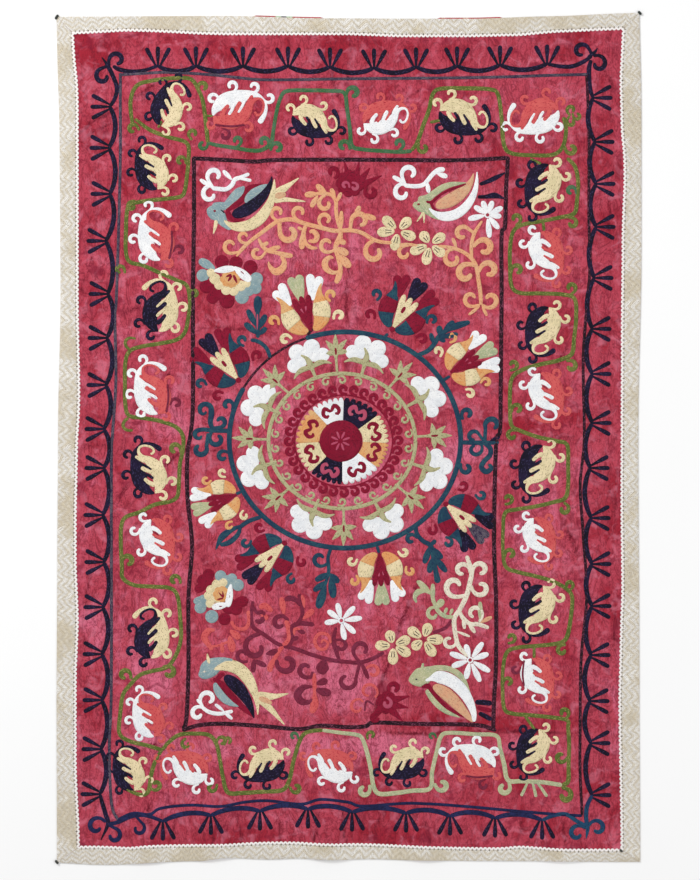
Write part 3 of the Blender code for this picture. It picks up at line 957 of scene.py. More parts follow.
# Coils by thread, each as its root x and y, its middle x and y, its radius, 1 where it winds
# anticlockwise or -1, and its width.
BORDER_COILS = {
    "navy": (
        (109, 67, 116.5, 60, 6, -1, 5), (109, 66, 103, 76, 6.2, 1, 5),
        (592, 55, 581.5, 51, 6, 1, 4.8), (593, 56, 598.5, 63.5, 6.2, -1, 4.8),
    ),
    "indigo": (
        (106, 822, 96.7, 825.5, 6.6, 1, 4.9), (106, 823, 114, 835, 5.8, -1, 4.7),
        (136, 816, 139, 828, 5.2, -1, 4),
    ),
    "sea": (
        (586, 828, 577, 832.5, 6, 1, 4.8), (588, 826, 597, 827.3, 6, -1, 4.8),
    ),
}

# The two frame lines, each side as its own run of chain stitch.
FRAME_LINES = by_thread(Line, {
    "slate": (
        (0, even(
            3, (119, 75), (145, 73.5), (170, 72.5), (212, 75), (240, 78), (268, 80), (348, 79),
            (400, 78.5), (457, 78), (506, 77), (550, 75.5), (588, 74.6),
        )),
        (0, even(
            3, (120.5, 73), (120.5, 150), (119, 220), (116.5, 298), (115, 318), (116, 380),
            (112.7, 434), (111.6, 460), (111.6, 600), (111.2, 700), (109.4, 749), (111.6, 803),
            (118, 820),
        )),
    ),
    "indigo": (
        (0, even(
            3, (117, 820), (133, 813), (150, 814), (161, 808), (190, 805), (221, 806), (245, 802),
            (268, 800.6), (301, 804), (321, 799), (348, 802), (363, 806), (412, 803), (462, 806),
            (529, 812), (582, 815.6),
        )),
    ),
    "black": (
        (0, even(
            3, (586.6, 74), (588.8, 134), (588.8, 220), (590, 265), (585.5, 320), (583, 363),
            (584, 440), (580, 485), (583, 534), (586.6, 596), (581, 660), (580, 734), (580, 772),
            (582, 815),
        )),
        (0, even(
            4.2, (192, 158.4), (225, 160), (255, 161.7), (282, 160), (394, 160), (437, 160.5),
            (470, 160), (508, 158),
        )),
        (0, even(
            4.2, (194, 157), (194, 220), (193, 300), (193, 400), (191, 432), (187.5, 455),
            (187.5, 496), (191, 529), (192, 552), (188.6, 596), (188.6, 660), (187.5, 700),
            (186, 722), (183, 729),
        )),
        (0, even(
            4.2, (182, 730), (200, 725), (223, 723.6), (263, 726), (299, 729), (321, 725.5),
            (348, 727), (366, 726), (374, 722.5), (417, 723.6), (475, 724.7), (496, 730),
        )),
        (0, even(
            4.2, (508, 156.5), (506, 190), (505, 226), (501.5, 236), (501.5, 300), (500.7, 380),
            (500, 430), (496, 445), (494, 538), (496, 600), (496, 660), (494, 700), (493, 729),
        )),
    ),
})


def spray(work, x, y, facing):
    """Three long leaves fanned about a facing angle, narrow at the root and round at the end."""
    middle = math.radians(facing)
    for lean, length, aside in ((-28.0, 20.6, -2.2), (0.0, 19.5, 0.0), (28.0, 20.6, 2.2)):
        angle = middle + math.radians(lean)
        root_x, root_y = x - aside * math.sin(middle), y - aside * math.cos(middle)
        rows = [
            (root_x + reach * length * math.cos(angle), root_y - reach * length * math.sin(angle), width)
            for reach, width in ((0.0, 1.8), (0.4, 3.4), (0.75, 4.5), (1.0, 3.6))
        ]
        work.line("navy", rows)


def draw_lines(work, lines):
    for line in lines:
        work.line(line.thread, line.rows, line.layer)


def draw_coils(work, table):
    for thread, coils in table.items():
        for coil in coils:
            work.coil(thread, *coil)


def draw_border(work):
    for side in BORDER:
        facing = math.degrees(math.atan2(-side.outward[1], side.outward[0]))
        for x, y in side.bases:
            spray(work, x, y, facing)
        for (x1, y1), (x2, y2) in zip(side.bases, side.bases[1:]):
            rows = []
            for share, width in ((0.0, 4.0), (0.22, 4.8), (0.5, 5.0), (0.78, 4.8), (1.0, 4.0)):
                swing = side.swing * math.sin(math.pi * share) ** 0.8
                x = x1 + (x2 - x1) * share - side.outward[0] * swing
                y = y1 + (y2 - y1) * share - side.outward[1] * swing
                rows.append((x, y, width))
            work.line(side.thread, rows)
    draw_lines(work, CORNERS)
    draw_coils(work, BORDER_COILS)


# The paisleys and their meander


# A paisley is two leaves that lock together: a crescent outside with its tail over the top, and a
# drop inside with a crook. One that is lined has a dark line down its drop.
Paisley = namedtuple("Paisley", "place crescent drop lined", defaults=(False,))
PAISLEYS = (
    Paisley(Place(171, 104, -37, 1.0), "navy", "cream"),
    Paisley(Place(240, 110, -90, 1.15), "white", "coral", True),
    Paisley(Place(316, 121, -90, 1.0, True), "navy", "cream"),
    Paisley(Place(387, 118, -90, 1.0), "coral", "white"),
    Paisley(Place(465, 117, -90, 1.08, True), "navy", "cream"),
    Paisley(Place(533, 116, 90, 1.08), "white", "coral"),
    Paisley(Place(152, 166, 0, 1.0), "navy", "cream"),
    Paisley(Place(157, 234, -5, 1.1), "white", "coral", True),
    Paisley(Place(159, 305, 12, 1.1, True), "cream", "navy"),
    Paisley(Place(153, 388, -2, 1.1), "white", "coral", True),
    Paisley(Place(149, 468, 0, 1.08), "navy", "cream"),
    Paisley(Place(157, 544, 180, 1.05), "coral", "white"),
    Paisley(Place(150, 632, 15, 1.08, True), "cream", "navy"),
    Paisley(Place(149, 714, 0, 0.96), "white", "coral"),
    Paisley(Place(129, 768, 0, 0.95), "navy", "cream"),
    Paisley(Place(184, 768, 90, 1.0, True), "coral", "white"),
    Paisley(Place(260.5, 765, 90, 0.99), "navy", "cream"),
    Paisley(Place(329, 766, 90, 1.0, True), "coral", "white"),
    Paisley(Place(401, 763, 90, 0.95), "navy", "cream"),
    Paisley(Place(470, 762, 90, 1.05, True), "white", "coral", True),
    Paisley(Place(533, 752, 180, 0.98, True), "navy", "cream"),
    Paisley(Place(543, 190, 180, 1.08, True), "navy", "cream"),
    Paisley(Place(546, 257, 180, 1.05), "coral", "white"),
    Paisley(Place(543, 332, 180, 1.05, True), "navy", "cream"),
    Paisley(Place(546, 398, 180, 1.05), "coral", "white"),
    Paisley(Place(537, 471, 180, 1.08, True), "navy", "cream"),
    Paisley(Place(539, 541, 180, 0.98), "coral", "white"),
    Paisley(Place(537, 611, 180, 1.08, True), "navy", "cream"),
    Paisley(Place(537, 682, 180, 1.0), "coral", "white", True),
)
# A paisley's two leaves, the fingers that reach from the drop into the crescent, and the gaps
# between them, each as rows about the paisley's own origin.
CRESCENT = (
    (5, -23.5, 1.5), (-1, -21, 7.5), (-7, -14, 13.5), (-10, -5, 14), (-12, 3, 11), (-13.5, 10, 6.5),
    (-12.5, 15.5, 4), (-8.5, 20, 3.2), (-3, 22.5, 3), (3, 21.8, 3.4), (7.5, 19.4, 4.6),
    (11.5, 16.5, 5),
)
DROP = (
    (6, -23.5, 1.5), (9.8, -16, 10), (10, -8, 14), (6.5, 0.5, 13), (0.4, 6.4, 9), (-5.5, 9.5, 5.2),
    (-9, 13.5, 3.2), (-9.5, 18, 2.6), (-6, 20.6, 2.3), (-1, 20.4, 2.2), (3.5, 18.2, 2.2),
    (4.6, 15, 2.4), (1.6, 12.6, 2.4),
)
FINGERS = (
    ((-3, 6, 4), (-8, 8, 3.4), (-12.8, 11, 3)),
    ((4, -4, 5), (-2, -2, 4.2), (-7.4, 0.4, 4)),
    ((6, -16, 5), (0, -13.5, 4), (-4.4, -9.6, 3.6)),
)
GAPS = (
    ((-8, 4.5, 2), (-2.5, 1.5, 2.4), (2.6, -1.6, 2.2)),
    ((-5, -5, 2.4), (0, -7, 2.8), (4.4, -9.8, 2.4)),
)
# A curl of a motif, about its own origin: where it winds, where its root lies and which way.
Curl = namedtuple("Curl", "x y facing turn")
CRESCENT_CURLS = (
    Curl(-10.5, 25.4, -50, 1), Curl(-19.8, 12, 0, 1), Curl(-20.8, -7, 40, 1), Curl(-9.5, -23.5, 110, 1),
)
DROP_CURLS = (Curl(15.4, 7, 210, -1), Curl(21.5, -13, 165, -1), Curl(12.5, -26, 110, -1))


def draw_paisley(work, figure):
    place, crescent, drop = figure.place, figure.crescent, figure.drop
    work.line(crescent, CRESCENT, 0, place)
    work.line(drop, DROP, 1, place)
    for rows in FINGERS:
        work.line(drop, rows, 1, place)
    for rows in GAPS:
        work.line(crescent, rows, 2, place)
    for curl in CRESCENT_CURLS:
        work.curl(crescent, *curl, size=4.5, place=place, wide=0.82)
    for number, curl in enumerate(DROP_CURLS):
        thread = "maroon" if figure.lined and number == 1 else drop
        work.curl(thread, *curl, size=4.5, place=place, wide=0.82)
    if figure.lined:
        work.line("maroon", ((13, -22, 1.6), (14.4, -8, 2.0), (13, 4, 1.6)), 3, place)


MEANDER = by_thread(Line, {
    "olive": (
        (0, (
            (133, 126, 3.6), (131, 112, 4), (131, 100, 4), (134, 90, 4), (140, 84, 4), (152, 81, 4),
            (165, 79, 4), (182, 78, 4), (192, 80, 4), (198, 89, 4), (203, 102, 4), (206, 124, 4.2),
            (208, 143, 4),
        )),
        (0, (
            (411, 151, 3.6), (417, 143, 4.2), (423, 126, 4.2), (429, 110, 4.2), (432.5, 95, 4),
            (440, 89, 4), (465, 88.5, 4.2), (490, 89.5, 4), (498, 95, 4), (501.5, 118, 4),
            (504, 145, 4.2), (512, 153.5, 4), (535, 155.5, 4), (554, 154.5, 4), (563, 146, 4),
            (566, 130, 4), (563.5, 117, 4.2),
        )),
        (0, ((430, 122.5, 3), (440, 120.5, 3))),
        (0, (
            (135, 119, 3), (150, 130, 4), (168, 137, 4), (187, 143.5, 4), (188.5, 160, 4),
            (187, 176, 4), (185, 190, 4), (181, 196.5, 4), (165, 199, 4), (146, 201, 4),
            (131, 204.5, 4), (127, 212, 4), (126, 232, 4), (126, 252, 4), (130, 262, 4),
            (143, 265.5, 4), (160, 273, 4), (176, 280, 4), (187, 286, 4), (190, 302, 4),
            (188, 320, 4), (184.5, 333, 4), (176, 340, 4), (160, 343.5, 4), (142, 346.5, 4),
            (130, 351, 4), (125.5, 362, 4), (125, 385, 4), (125.5, 405, 4), (129, 415.5, 4),
            (143, 418, 4), (160, 421, 4), (176, 427, 4), (183, 436, 4), (183, 450, 4),
            (180, 464, 4), (179, 482, 4), (177.5, 496, 4), (170, 501.5, 4), (155, 504.5, 4),
            (140, 512, 4), (126, 517, 4), (121.5, 526, 4), (121, 545, 4), (122, 566, 4),
            (123, 578, 4), (134, 585, 4), (152, 586.5, 4), (170, 588, 4), (177.5, 596, 4),
            (180, 615, 4), (181, 638, 4), (176, 655, 4), (167, 667, 4), (152, 671, 4),
            (140, 675, 4), (130, 685, 4), (123, 695, 4), (120.5, 712, 4), (119.5, 733, 4),
            (130, 741, 4), (148, 745.5, 4), (162, 750, 4),
        )),
        (0, (
            (162, 750, 3.6), (170, 741, 4), (180, 734.5, 4), (195, 733.5, 4), (209, 735, 4),
            (216.5, 744, 4), (220, 760, 4), (223, 777, 4), (228, 792, 4.4), (243, 792.8, 4.4),
            (264, 791.4, 4.2), (282, 790, 4.4), (289, 781, 4.2), (293.5, 761, 4), (298.5, 744, 4),
            (303.5, 734.5, 4), (311, 731, 4), (323, 730, 4),
        )),
        (0, (
            (162, 749, 3.6), (155, 762, 4), (151, 776, 4.2), (149, 790, 4.2), (143, 794.5, 4),
            (134, 792.5, 3.6), (126, 788.5, 3),
        )),
        (0, (
            (562, 785, 4), (568, 781, 4.6), (568.5, 765, 4), (569, 745, 4), (568, 728, 4),
            (567, 720, 4), (550, 717, 4), (530, 715, 4), (513, 713.5, 4), (504.5, 709, 4),
            (502.5, 690, 3.6), (503, 668, 3.6), (507, 652, 4), (518, 647.5, 4), (534, 646, 4),
            (550, 644.5, 4), (562, 642, 4.2), (567.5, 635, 4.4), (571, 615, 4), (572, 597, 4),
            (566, 588.5, 4), (552, 581, 4), (535, 576, 4), (518, 572, 4), (506, 567, 4),
            (503, 552, 3.6), (503, 530, 3.6), (505, 513, 4), (516, 509.5, 4), (535, 506.5, 4),
            (554, 502, 4), (565, 498, 4.4), (568, 486, 4), (568, 465, 4), (567, 445, 4),
            (556, 441, 4), (538, 437, 4), (521, 431, 4), (511.5, 425.5, 4), (510, 410, 4),
            (510, 392, 4), (512, 378, 4), (522, 370, 4.2), (540, 364.5, 4.2), (558, 360.5, 4.2),
            (571.5, 354, 4.4), (574, 338, 4), (576, 318, 4), (574.5, 299, 4), (562, 294.5, 4),
            (540, 293.5, 4), (520, 293, 4), (511.5, 286, 4), (510, 268, 4), (510, 248, 4),
            (513, 232, 4), (522, 225, 4), (540, 221.5, 4), (560, 217.5, 4), (574, 213.5, 4.4),
            (577, 200, 4), (578, 182, 4), (575, 167, 4), (567, 158, 3.6),
        )),
        (0, ((158, 128, 2.6), (162, 121, 2.6))), (0, ((543, 222, 3), (544, 231, 3))),
        (0, ((530, 159, 3), (541, 164, 3))), (0, ((534, 646, 3), (534, 658, 3))),
        (0, ((525, 716, 3), (535, 730, 3))), (0, ((213, 116, 2.2), (204, 116, 2.6))),
        (0, (
            (136, 338.6, 2.2), (129.5, 338, 2.8), (125.6, 341, 3.2), (126, 346, 3.2),
            (129.5, 349.4, 3),
        )),
        (0, (
            (128.6, 417.8, 3), (124.4, 421.4, 3.2), (123.2, 426.2, 3.2), (126.8, 430, 3),
            (133, 430.4, 2.4),
        )),
    ),
    "fern": (
        (0, (
            (208, 143, 3.6), (218, 145.5, 3.8), (235, 148, 4), (250, 150.5, 4), (262, 150, 4.2),
            (271, 143, 4.4), (273.5, 130, 3.8), (277, 110, 3.8), (281.5, 96, 3.8), (288, 91, 4),
            (310, 90.5, 4), (330, 91, 4), (344, 93, 4), (347, 108, 4), (350, 130, 4),
            (352, 146, 4.4), (362, 149.5, 4), (380, 151, 4), (400, 152, 4), (412, 151, 4),
        )),
    ),
    "mist": (
        (0, (
            (322, 730, 3.6), (340, 732.5, 3.8), (356, 734.5, 4), (362, 738, 4), (367, 752, 4.4),
            (371, 770, 4.4), (373.5, 786, 4.6), (379, 793.5, 4.6), (395, 793, 4.6),
            (412, 790.5, 4.4), (430, 788, 4.4), (432, 772, 4.2), (436.5, 752, 4.2), (441, 736, 4.2),
            (450, 732.5, 4), (475, 734, 4), (496, 735.5, 4), (500, 748, 4), (504, 764, 4.6),
            (508, 780, 4.6), (522, 781, 4.4), (542, 782, 4.4), (562, 785, 4.2),
        )),
        (0, ((528, 781, 2), (524, 790, 3), (521, 796, 3))),
        (0, ((532, 781, 2), (534.5, 790, 3), (536, 797, 3.2))),
        (0, ((536, 781, 2), (542, 789, 3), (547, 796.5, 3.2))),
    ),
})
# A curl drawn straight on the layout: its thread, and then as the curls of a motif.
FreeCurl = namedtuple("FreeCurl", "thread x y facing turn size")
MEANDER_CURLS = by_thread(FreeCurl, {
    "olive": (
        (203, 87, 200, -1, 5), (133, 129, 20, 1, 5), (193, 134, 230, -1, 4.6),
        (181, 161, 0, 1, 4.6), (423, 148, 160, 1, 5), (571, 149, 190, 1, 5.4),
        (571, 110, 230, -1, 4.4), (577, 116, 180, 1, 4), (571, 122, 140, 1, 4.4),
        (132, 206, 90, 1, 4.6), (120, 270, 0, 1, 4.6), (194, 294, 180, -1, 4.6),
        (175, 449, 0, 1, 5.4), (128, 561, 180, -1, 6), (175, 580, 0, 1, 5), (125, 675, 0, 1, 5.6),
        (169, 672, 110, -1, 6), (186, 744, 120, 1, 4.4), (222, 741, 160, -1, 4.6),
        (156, 785, 240, 1, 5), (212, 787, 0, -1, 4.6), (228, 741, 200, -1, 4),
        (296, 788, 200, 1, 5), (371, 735, 200, -1, 4), (561, 757, -30, -1, 5.4),
        (565, 795, 80, -1, 6.6), (516, 219, -60, 1, 5), (572, 223, 90, -1, 5),
        (517, 270, 180, -1, 5.4), (571, 288, -60, 1, 5), (513, 365, -90, 1, 4.8),
        (571, 366, 100, -1, 5.4), (517, 409, 180, -1, 5), (512, 435, 80, 1, 5),
        (564, 509, 60, -1, 5), (508, 499, -90, 1, 4.8), (510, 554, 180, -1, 5),
        (511, 638, -90, 1, 4.6), (562, 650, 90, 1, 5), (508, 682, 180, -1, 4.6),
        (564, 713, -50, 1, 5), (569, 585, -60, 1, 4.4),
    ),
    "fern": (
        (203, 145, 0, -1, 4.6), (237, 141, -60, 1, 4.6), (264, 142, -30, 1, 5),
        (277, 148, 170, -1, 5.4), (353, 93, 170, -1, 6), (344, 146, 0, 1, 5.4),
        (399, 144, -60, 1, 5), (294, 736, 0, 1, 3.8), (432, 736, 10, 1, 3.4), (571, 191, 0, 1, 4.8),
    ),
    "mist": (
        (364, 790, 10, -1, 5.8), (442, 785, 200, 1, 6), (504, 788, 20, -1, 6),
    ),
})


def draw_free_curls(work, curls, layer=0):
    """Curls on the layout itself, where y counts down."""
    for curl in curls:
        work.curl(curl.thread, 0, 0, curl.facing, curl.turn, curl.size, layer, Place(curl.x, curl.y))


# The field


# A leaf is a lens from one square to another, widest in the middle.
Leaf = namedtuple("Leaf", "thread layer x1 y1 x2 y2 width")
# A disc is round or oval, and may have a lobed edge.
Disc = namedtuple("Disc", "thread layer x y radius squash lobes", defaults=(1.0, 0))


def draw_leaves(work, leaves):
    for leaf in leaves:
        rows = []
        for share, wide in ((0.0, 0.25), (0.25, 0.72), (0.55, 1.0), (0.82, 0.85), (1.0, 0.55)):
            x = leaf.x1 + (leaf.x2 - leaf.x1) * share
            y = leaf.y1 + (leaf.y2 - leaf.y1) * share
            rows.append((x, y, leaf.width * wide))
        work.line(leaf.thread, rows, leaf.layer)


def draw_discs(work, discs):
    for disc in discs:
        work.fan(
            disc.thread, disc.x, disc.y, 0.0, disc.radius, layer=disc.layer, lobes=disc.lobes,
            squash=disc.squash,
        )


ROSETTE_DISCS = by_thread(Disc, {
    "sky": (
        (0, 203, 275.5, 6.4), (0, 256.5, 279, 6.6), (0, 255.5, 288, 6.2), (0, 242, 297, 7),
        (0, 248, 289, 7.4), (0, 220.7, 576, 5.8), (0, 232, 578.5, 5.2), (0, 238, 585, 6),
        (0, 228, 582, 7), (0, 200.5, 607.5, 6), (0, 204, 601, 6.4), (0, 211.8, 616.5, 6.6),
    ),
    "crimson": (
        (0, 221.7, 262, 7), (0, 236, 263, 6.8), (0, 250.5, 267, 7), (0, 206.5, 286.5, 7),
        (0, 212.6, 298, 6), (0, 227, 301, 7.6), (0, 218.5, 292, 8.5), (0, 208.6, 574.5, 5.8),
        (0, 203.5, 580.5, 6.4), (0, 208.5, 583.5, 7), (0, 236, 608.5, 6.6), (0, 224.5, 619, 6.2),
        (0, 229.5, 606, 8),
    ),
    "cream": (
        (1, 211, 273, 4.6), (1, 215, 279, 5.6), (1, 219, 285.5, 4.8), (1, 226, 290, 5.4),
        (1, 234, 291, 5), (1, 241, 286, 5.6), (1, 247, 284, 4), (1, 223.3, 582.5, 4.8),
        (1, 216.3, 584.5, 5), (1, 211, 589.5, 5), (1, 208.5, 596, 4.8), (1, 210, 603, 4.8),
        (1, 218, 593, 10),
    ),
    "orange": (
        (2, 230.5, 279.5, 10.5, 0.85, 7), (2, 221, 594, 9, 0.95, 7),
    ),
})
ROSETTE_LEAVES = by_thread(Leaf, {
    "sky": (
        (0, 215, 269, 199, 260, 9), (0, 208, 598, 193.5, 602, 8),
    ),
    "white": (
        (3, 214, 271, 235, 268.5, 7.4), (3, 234, 267, 251, 281, 9), (3, 231, 584, 228, 607, 7.4),
        (3, 229, 604, 212, 607.5, 7.2),
    ),
    "crimson": (
        (4, 222.5, 269.6, 231, 269, 1.8), (4, 238.5, 269, 245.5, 276, 2),
        (4, 226, 277, 231.5, 274.5, 2.6), (4, 228, 281.5, 232, 275.5, 3),
        (4, 237, 283, 233.5, 275, 3), (0, 208, 583, 195, 591, 9), (0, 232, 604, 248.5, 600, 11),
        (4, 230, 592, 229.5, 599, 2), (4, 217, 606.6, 223, 605.8, 2.2),
        (4, 218.5, 592, 223.5, 597.5, 2), (4, 222.6, 591, 223.6, 597.5, 2),
        (4, 217, 599.5, 223.5, 598, 2),
    ),
})


# A tulip is drawn with its root at the origin and its flower upwards.
Tulip = namedtuple("Tulip", "place cone petals sepals curls")
# A tulip's threads: its cone, its petals, the parts of its sepals, and its curls.
WARM = ("crimson", ("white", "mist", "white"), ("orange", "cream", "orange"), ("orange", "cream"))
COOL = ("cream", ("crimson", "navy", "crimson"), ("teal", "crimson", "teal"), ("teal", "crimson"))
TULIPS = (
    Tulip(Place(311, 330.6, 17, 1.0), *WARM),
    Tulip(Place(393, 328, -32, 0.98), *COOL),
    Tulip(Place(237.5, 379, 39, 0.96), *COOL),
    Tulip(Place(451, 372, -60, 0.9), *WARM),
    Tulip(Place(236, 495, 110, 0.82), *WARM),
    Tulip(Place(283.5, 544, 134, 0.93), *COOL),
    Tulip(Place(379.5, 554, 183, 0.9), *WARM),
    Tulip(Place(447, 505, -132, 0.92), "cream", ("navy", "slate", "navy"), *COOL[2:]),
)
# The right sepal, and the root and the two tips of each petal.
SEPAL = (
    (2.6, -0.5, 4), (8.5, 3, 11), (14, 9.5, 16.5), (16.4, 17.5, 18), (17.2, 26, 13), (18.4, 33, 7),
    (21, 38.5, 3.6), (24, 42.5, 1),
)
PETAL_TIPS = (
    ((-12.4, 33.5), (-25, 48), (-15.5, 54)),
    ((-0.5, 34.5), (-5, 57), (5, 57)),
    ((10, 32.5), (15.5, 54.5), (25, 49)),
)
TULIP_CURLS = (Curl(-33, 20, -20, 1), Curl(-27, -1, 20, 1), Curl(29.5, 28, 215, -1), Curl(31, 6, 165, -1))


def draw_tulip(work, tulip):
    place = tulip.place
    for thread, (root, *tips) in zip(tulip.petals, PETAL_TIPS):
        for x, y in tips:
            rows = [
                (root[0] + (x - root[0]) * share, root[1] - 4 * (1 - share) + (y - root[1]) * share, wide)
                for share, wide in ((0.0, 4), (0.35, 7.4), (0.75, 9), (1.0, 7.4))
            ]
            work.line(thread, rows, 0, place)
    for side in (-1, 1):
        rows = [(side * x, y, wide) for x, y, wide in SEPAL]
        parts = ((0.0, 0.34), (0.32, 0.62), (0.6, 1.0))
        for number, (thread, span) in enumerate(zip(tulip.sepals, parts)):
            caps = (number == 0, number == 2)
            work.line(thread, rows, 1 + number % 2, place, caps, span)
    work.fan(tulip.cone, 0, -4, 3, 40, 73, 34, 3, place, lobes=3, notch=0.2)
    if tulip.cone == "cream":
        work.line("crimson", ((-0.8, 17, 3), (-0.8, 21, 4.4), (-0.8, 25, 3)), 4, place)
        work.fan("crimson", 0, -1.5, 0, 2.8, layer=4, place=place)
    else:
        work.line("rose", ((-1, 16, 1.2), (-3.6, 24, 2.6)), 4, place)
        work.line("rose", ((-0.4, 16, 1.2), (2.2, 25, 2.6)), 4, place)
    for number, curl in enumerate(TULIP_CURLS):
        work.curl(tulip.curls[number % 2], *curl, size=4.9, place=place)


# The middles and half sizes of the ring, the garland, the medallion and its scrolls.
RING_X = 345.0
RING_Y = 440.0
RING_WIDE = 115.6
RING_TALL = 108.0
GARLAND_X = 342.0
GARLAND_Y = 441.0
GARLAND_WIDE = 73.4
GARLAND_TALL = 67.5
MEDAL_X = 342.3
DISC_X = 340.4
MEDAL_Y = 441.0
MEDAL_SQUASH = 0.935
SCROLL_X = 343.6
SCROLL_WIDE = 55.0
SCROLL_TALL = 51.6
GARLAND_CURLS = 26
SCROLL_CURLS = 32


def oval(x, y, wide, tall, start, sweep, width, count=72):
    """Rows along an oval, from a start angle over a sweep in degrees, anticlockwise."""
    rows = []
    for number in range(count + 1):
        angle = math.radians(start + sweep * number / count)
        rows.append((x + wide * math.cos(angle), y - tall * math.sin(angle), width))
    return rows


def facing_out(x, y):
    """The place at a point, turned to face away from the middle of the garland."""
    return Place(x, y, math.degrees(math.atan2(GARLAND_X - x, GARLAND_Y - y)))


RING_LINES = by_thread(Line, {
    "teal": (
        (0, (
            (270.5, 358, 4), (267, 349, 4), (261.5, 343.5, 4), (256, 340.8, 4), (250.5, 340, 3.4),
        )),
        (0, ((258, 338, 4), (257.6, 328, 4), (257.6, 312, 4))),
        (0, (
            (417, 355.5, 4), (427.5, 351, 4.6), (433.5, 345, 4.8), (439, 336.5, 4.8), (447, 330, 5),
            (458, 325.5, 7), (470, 322, 4),
        )),
        (0, (
            (415.5, 525, 4), (417, 534, 4.4), (423, 541, 4.6), (430.5, 545.5, 4.8), (433, 556, 4.4),
            (435.5, 570, 5), (438, 583, 7),
        )),
        (0, ((261, 517, 4), (249, 521, 4.4), (240, 527, 4.4))),
        (0, ((241, 526, 3), (232, 529.5, 5), (223, 536, 7), (218.5, 543, 4), (216, 549.5, 1))),
        (0, ((241, 526, 3), (237.5, 535, 4.6), (229, 542.5, 5.4), (220, 545, 3.6))),
        (0, ((331, 548, 3.4), (328, 558, 3.6), (328.6, 572, 3.6), (324, 588, 3.4))),
        (0, (
            (230, 431, 4.4), (213, 430.5, 4.4), (203, 429.5, 4.4), (196, 431.5, 4.8),
            (195.3, 436.5, 4.2), (199.5, 438.6, 3.4), (202, 435.5, 2.4),
        )),
        (0, (
            (214, 431, 4), (210.5, 423, 5), (211.5, 414, 6), (210.5, 406.6, 5.4), (205.5, 404, 5),
            (200.5, 406.5, 5), (200.3, 412, 4.2), (204, 414.2, 3), (206.5, 411.5, 2.4),
        )),
        (0, ((459, 442.3, 4.4), (470, 442.6, 4.6), (485, 442.8, 4.6), (499, 442.5, 3.6))),
        (0, (
            (484, 443, 4), (490, 448, 5), (490, 455, 5), (484.3, 461, 5), (481.3, 467, 5.4),
            (486, 471.8, 5.4), (491.4, 468, 4.6), (488.5, 464, 3),
        )),
        (0, ((388, 333.5, 3), (383.5, 338.5, 3.4))), (0, ((450, 376, 3), (441.5, 381.5, 3.4))),
        (0, ((379, 553, 3), (377, 546, 3.4))), (0, ((236, 494, 3), (241, 492, 3.4))),
    ),
    "black": (
        (1, ((313, 328.5, 3), (307, 335, 3.4))),
    ),
})
RING_COILS = {
    "teal": (
        (328, 563, 320, 559.5, 5.6, -1, 4.6), (213, 428, 220.5, 422, 4.4, 1, 4.8),
        (212, 431, 216.5, 439, 5.6, 1, 5.2), (208.5, 433, 200.5, 449, 5.6, -1, 5.6),
        (484.5, 442, 492, 425, 6, -1, 5.6), (484, 441, 473.5, 436.5, 4.8, 1, 4.5),
        (480, 443, 475.5, 449, 5.4, -1, 4.3),
    ),
}
RING_LEAVES = by_thread(Leaf, {
    "teal": (
        (0, 257.6, 315, 258, 296, 8.6), (0, 256, 326, 247.5, 309.5, 6.4),
        (0, 259, 328.5, 266, 314.5, 6.6), (0, 257, 334, 244.5, 323, 6.6),
        (0, 259, 335, 266.5, 327.5, 5.6), (0, 434, 344.5, 430.5, 333, 5),
        (0, 440, 336, 439, 325.5, 6.4), (0, 443.5, 331.5, 454, 321, 6.4),
        (0, 440, 337.5, 458, 334, 5.8), (0, 437.5, 338, 445.5, 341.5, 4.6),
        (0, 430, 546, 424, 563.5, 6.6), (0, 431, 547, 442.5, 558.5, 6.6),
        (0, 434, 556, 446.5, 572, 6.6), (0, 432, 558, 429, 573, 6.6),
        (0, 430, 545.5, 436, 540, 4.6), (0, 329.5, 573, 315, 580.5, 6.6),
        (0, 326.5, 581, 313.5, 591, 6.4), (0, 329.5, 573.5, 339, 582.5, 7),
        (0, 331, 576, 333.5, 598, 8.4), (0, 325.5, 585, 318, 608.5, 9),
    ),
    "rose": (
        (2, 257.3, 330, 257.5, 314, 1.8),
    ),
    "navy": (
        (0, 489, 442, 500, 436.5, 4.4),
    ),
})
RING_CURLS = by_thread(FreeCurl, {
    "teal": (
        (228, 405, -20, 1, 5.2), (223, 456, 60, 1, 5.2), (467, 414, 200, -1, 5.4),
        (466, 468, 170, 1, 5.4), (411, 539, 40, 1, 5),
    ),
})
# The places of the garland's bolls and leaf stars, and the shapes that make up one of each.
BOLLS = (
    (307, 357), (368, 353), (428, 395), (435, 471), (385, 521), (310, 521), (254, 469), (259, 404),
)
LEAF_STARS = (
    (335.5, 350), (401, 374), (436, 435.5), (412, 498), (344, 530), (277, 499), (248, 439), (274, 380),
)
BOLL_LOBES = (
    (-15, -3.5, 7.2), (-7.5, 7.5, 8.6), (8, 7, 8.4), (15.5, -4, 7), (-7, -1, 7), (0.4, 0.6, 7.6),
    (8.5, -1.5, 6.8),
)
BOLL_STEM = ((0, -24, 3), (0, -15, 3.6), (0, -10, 6.4), (0, -6, 6), (-1, -1, 4), (-5, 4, 1.6))
STAR_TIPS = ((-12.5, -3.5), (-9, 10), (1, 16), (12, 9.5), (13.5, -2.5))
# The sectors of the medallion, clockwise: each thread with the angle where it starts.
SECTORS = (
    ("navy", 88.0), ("cream", 38.0), ("orange", -3.0), ("white", -39.0), ("navy", -90.0),
    ("cream", -133.5), ("orange", -177.0), ("white", -228.4), ("", -272.0),
)
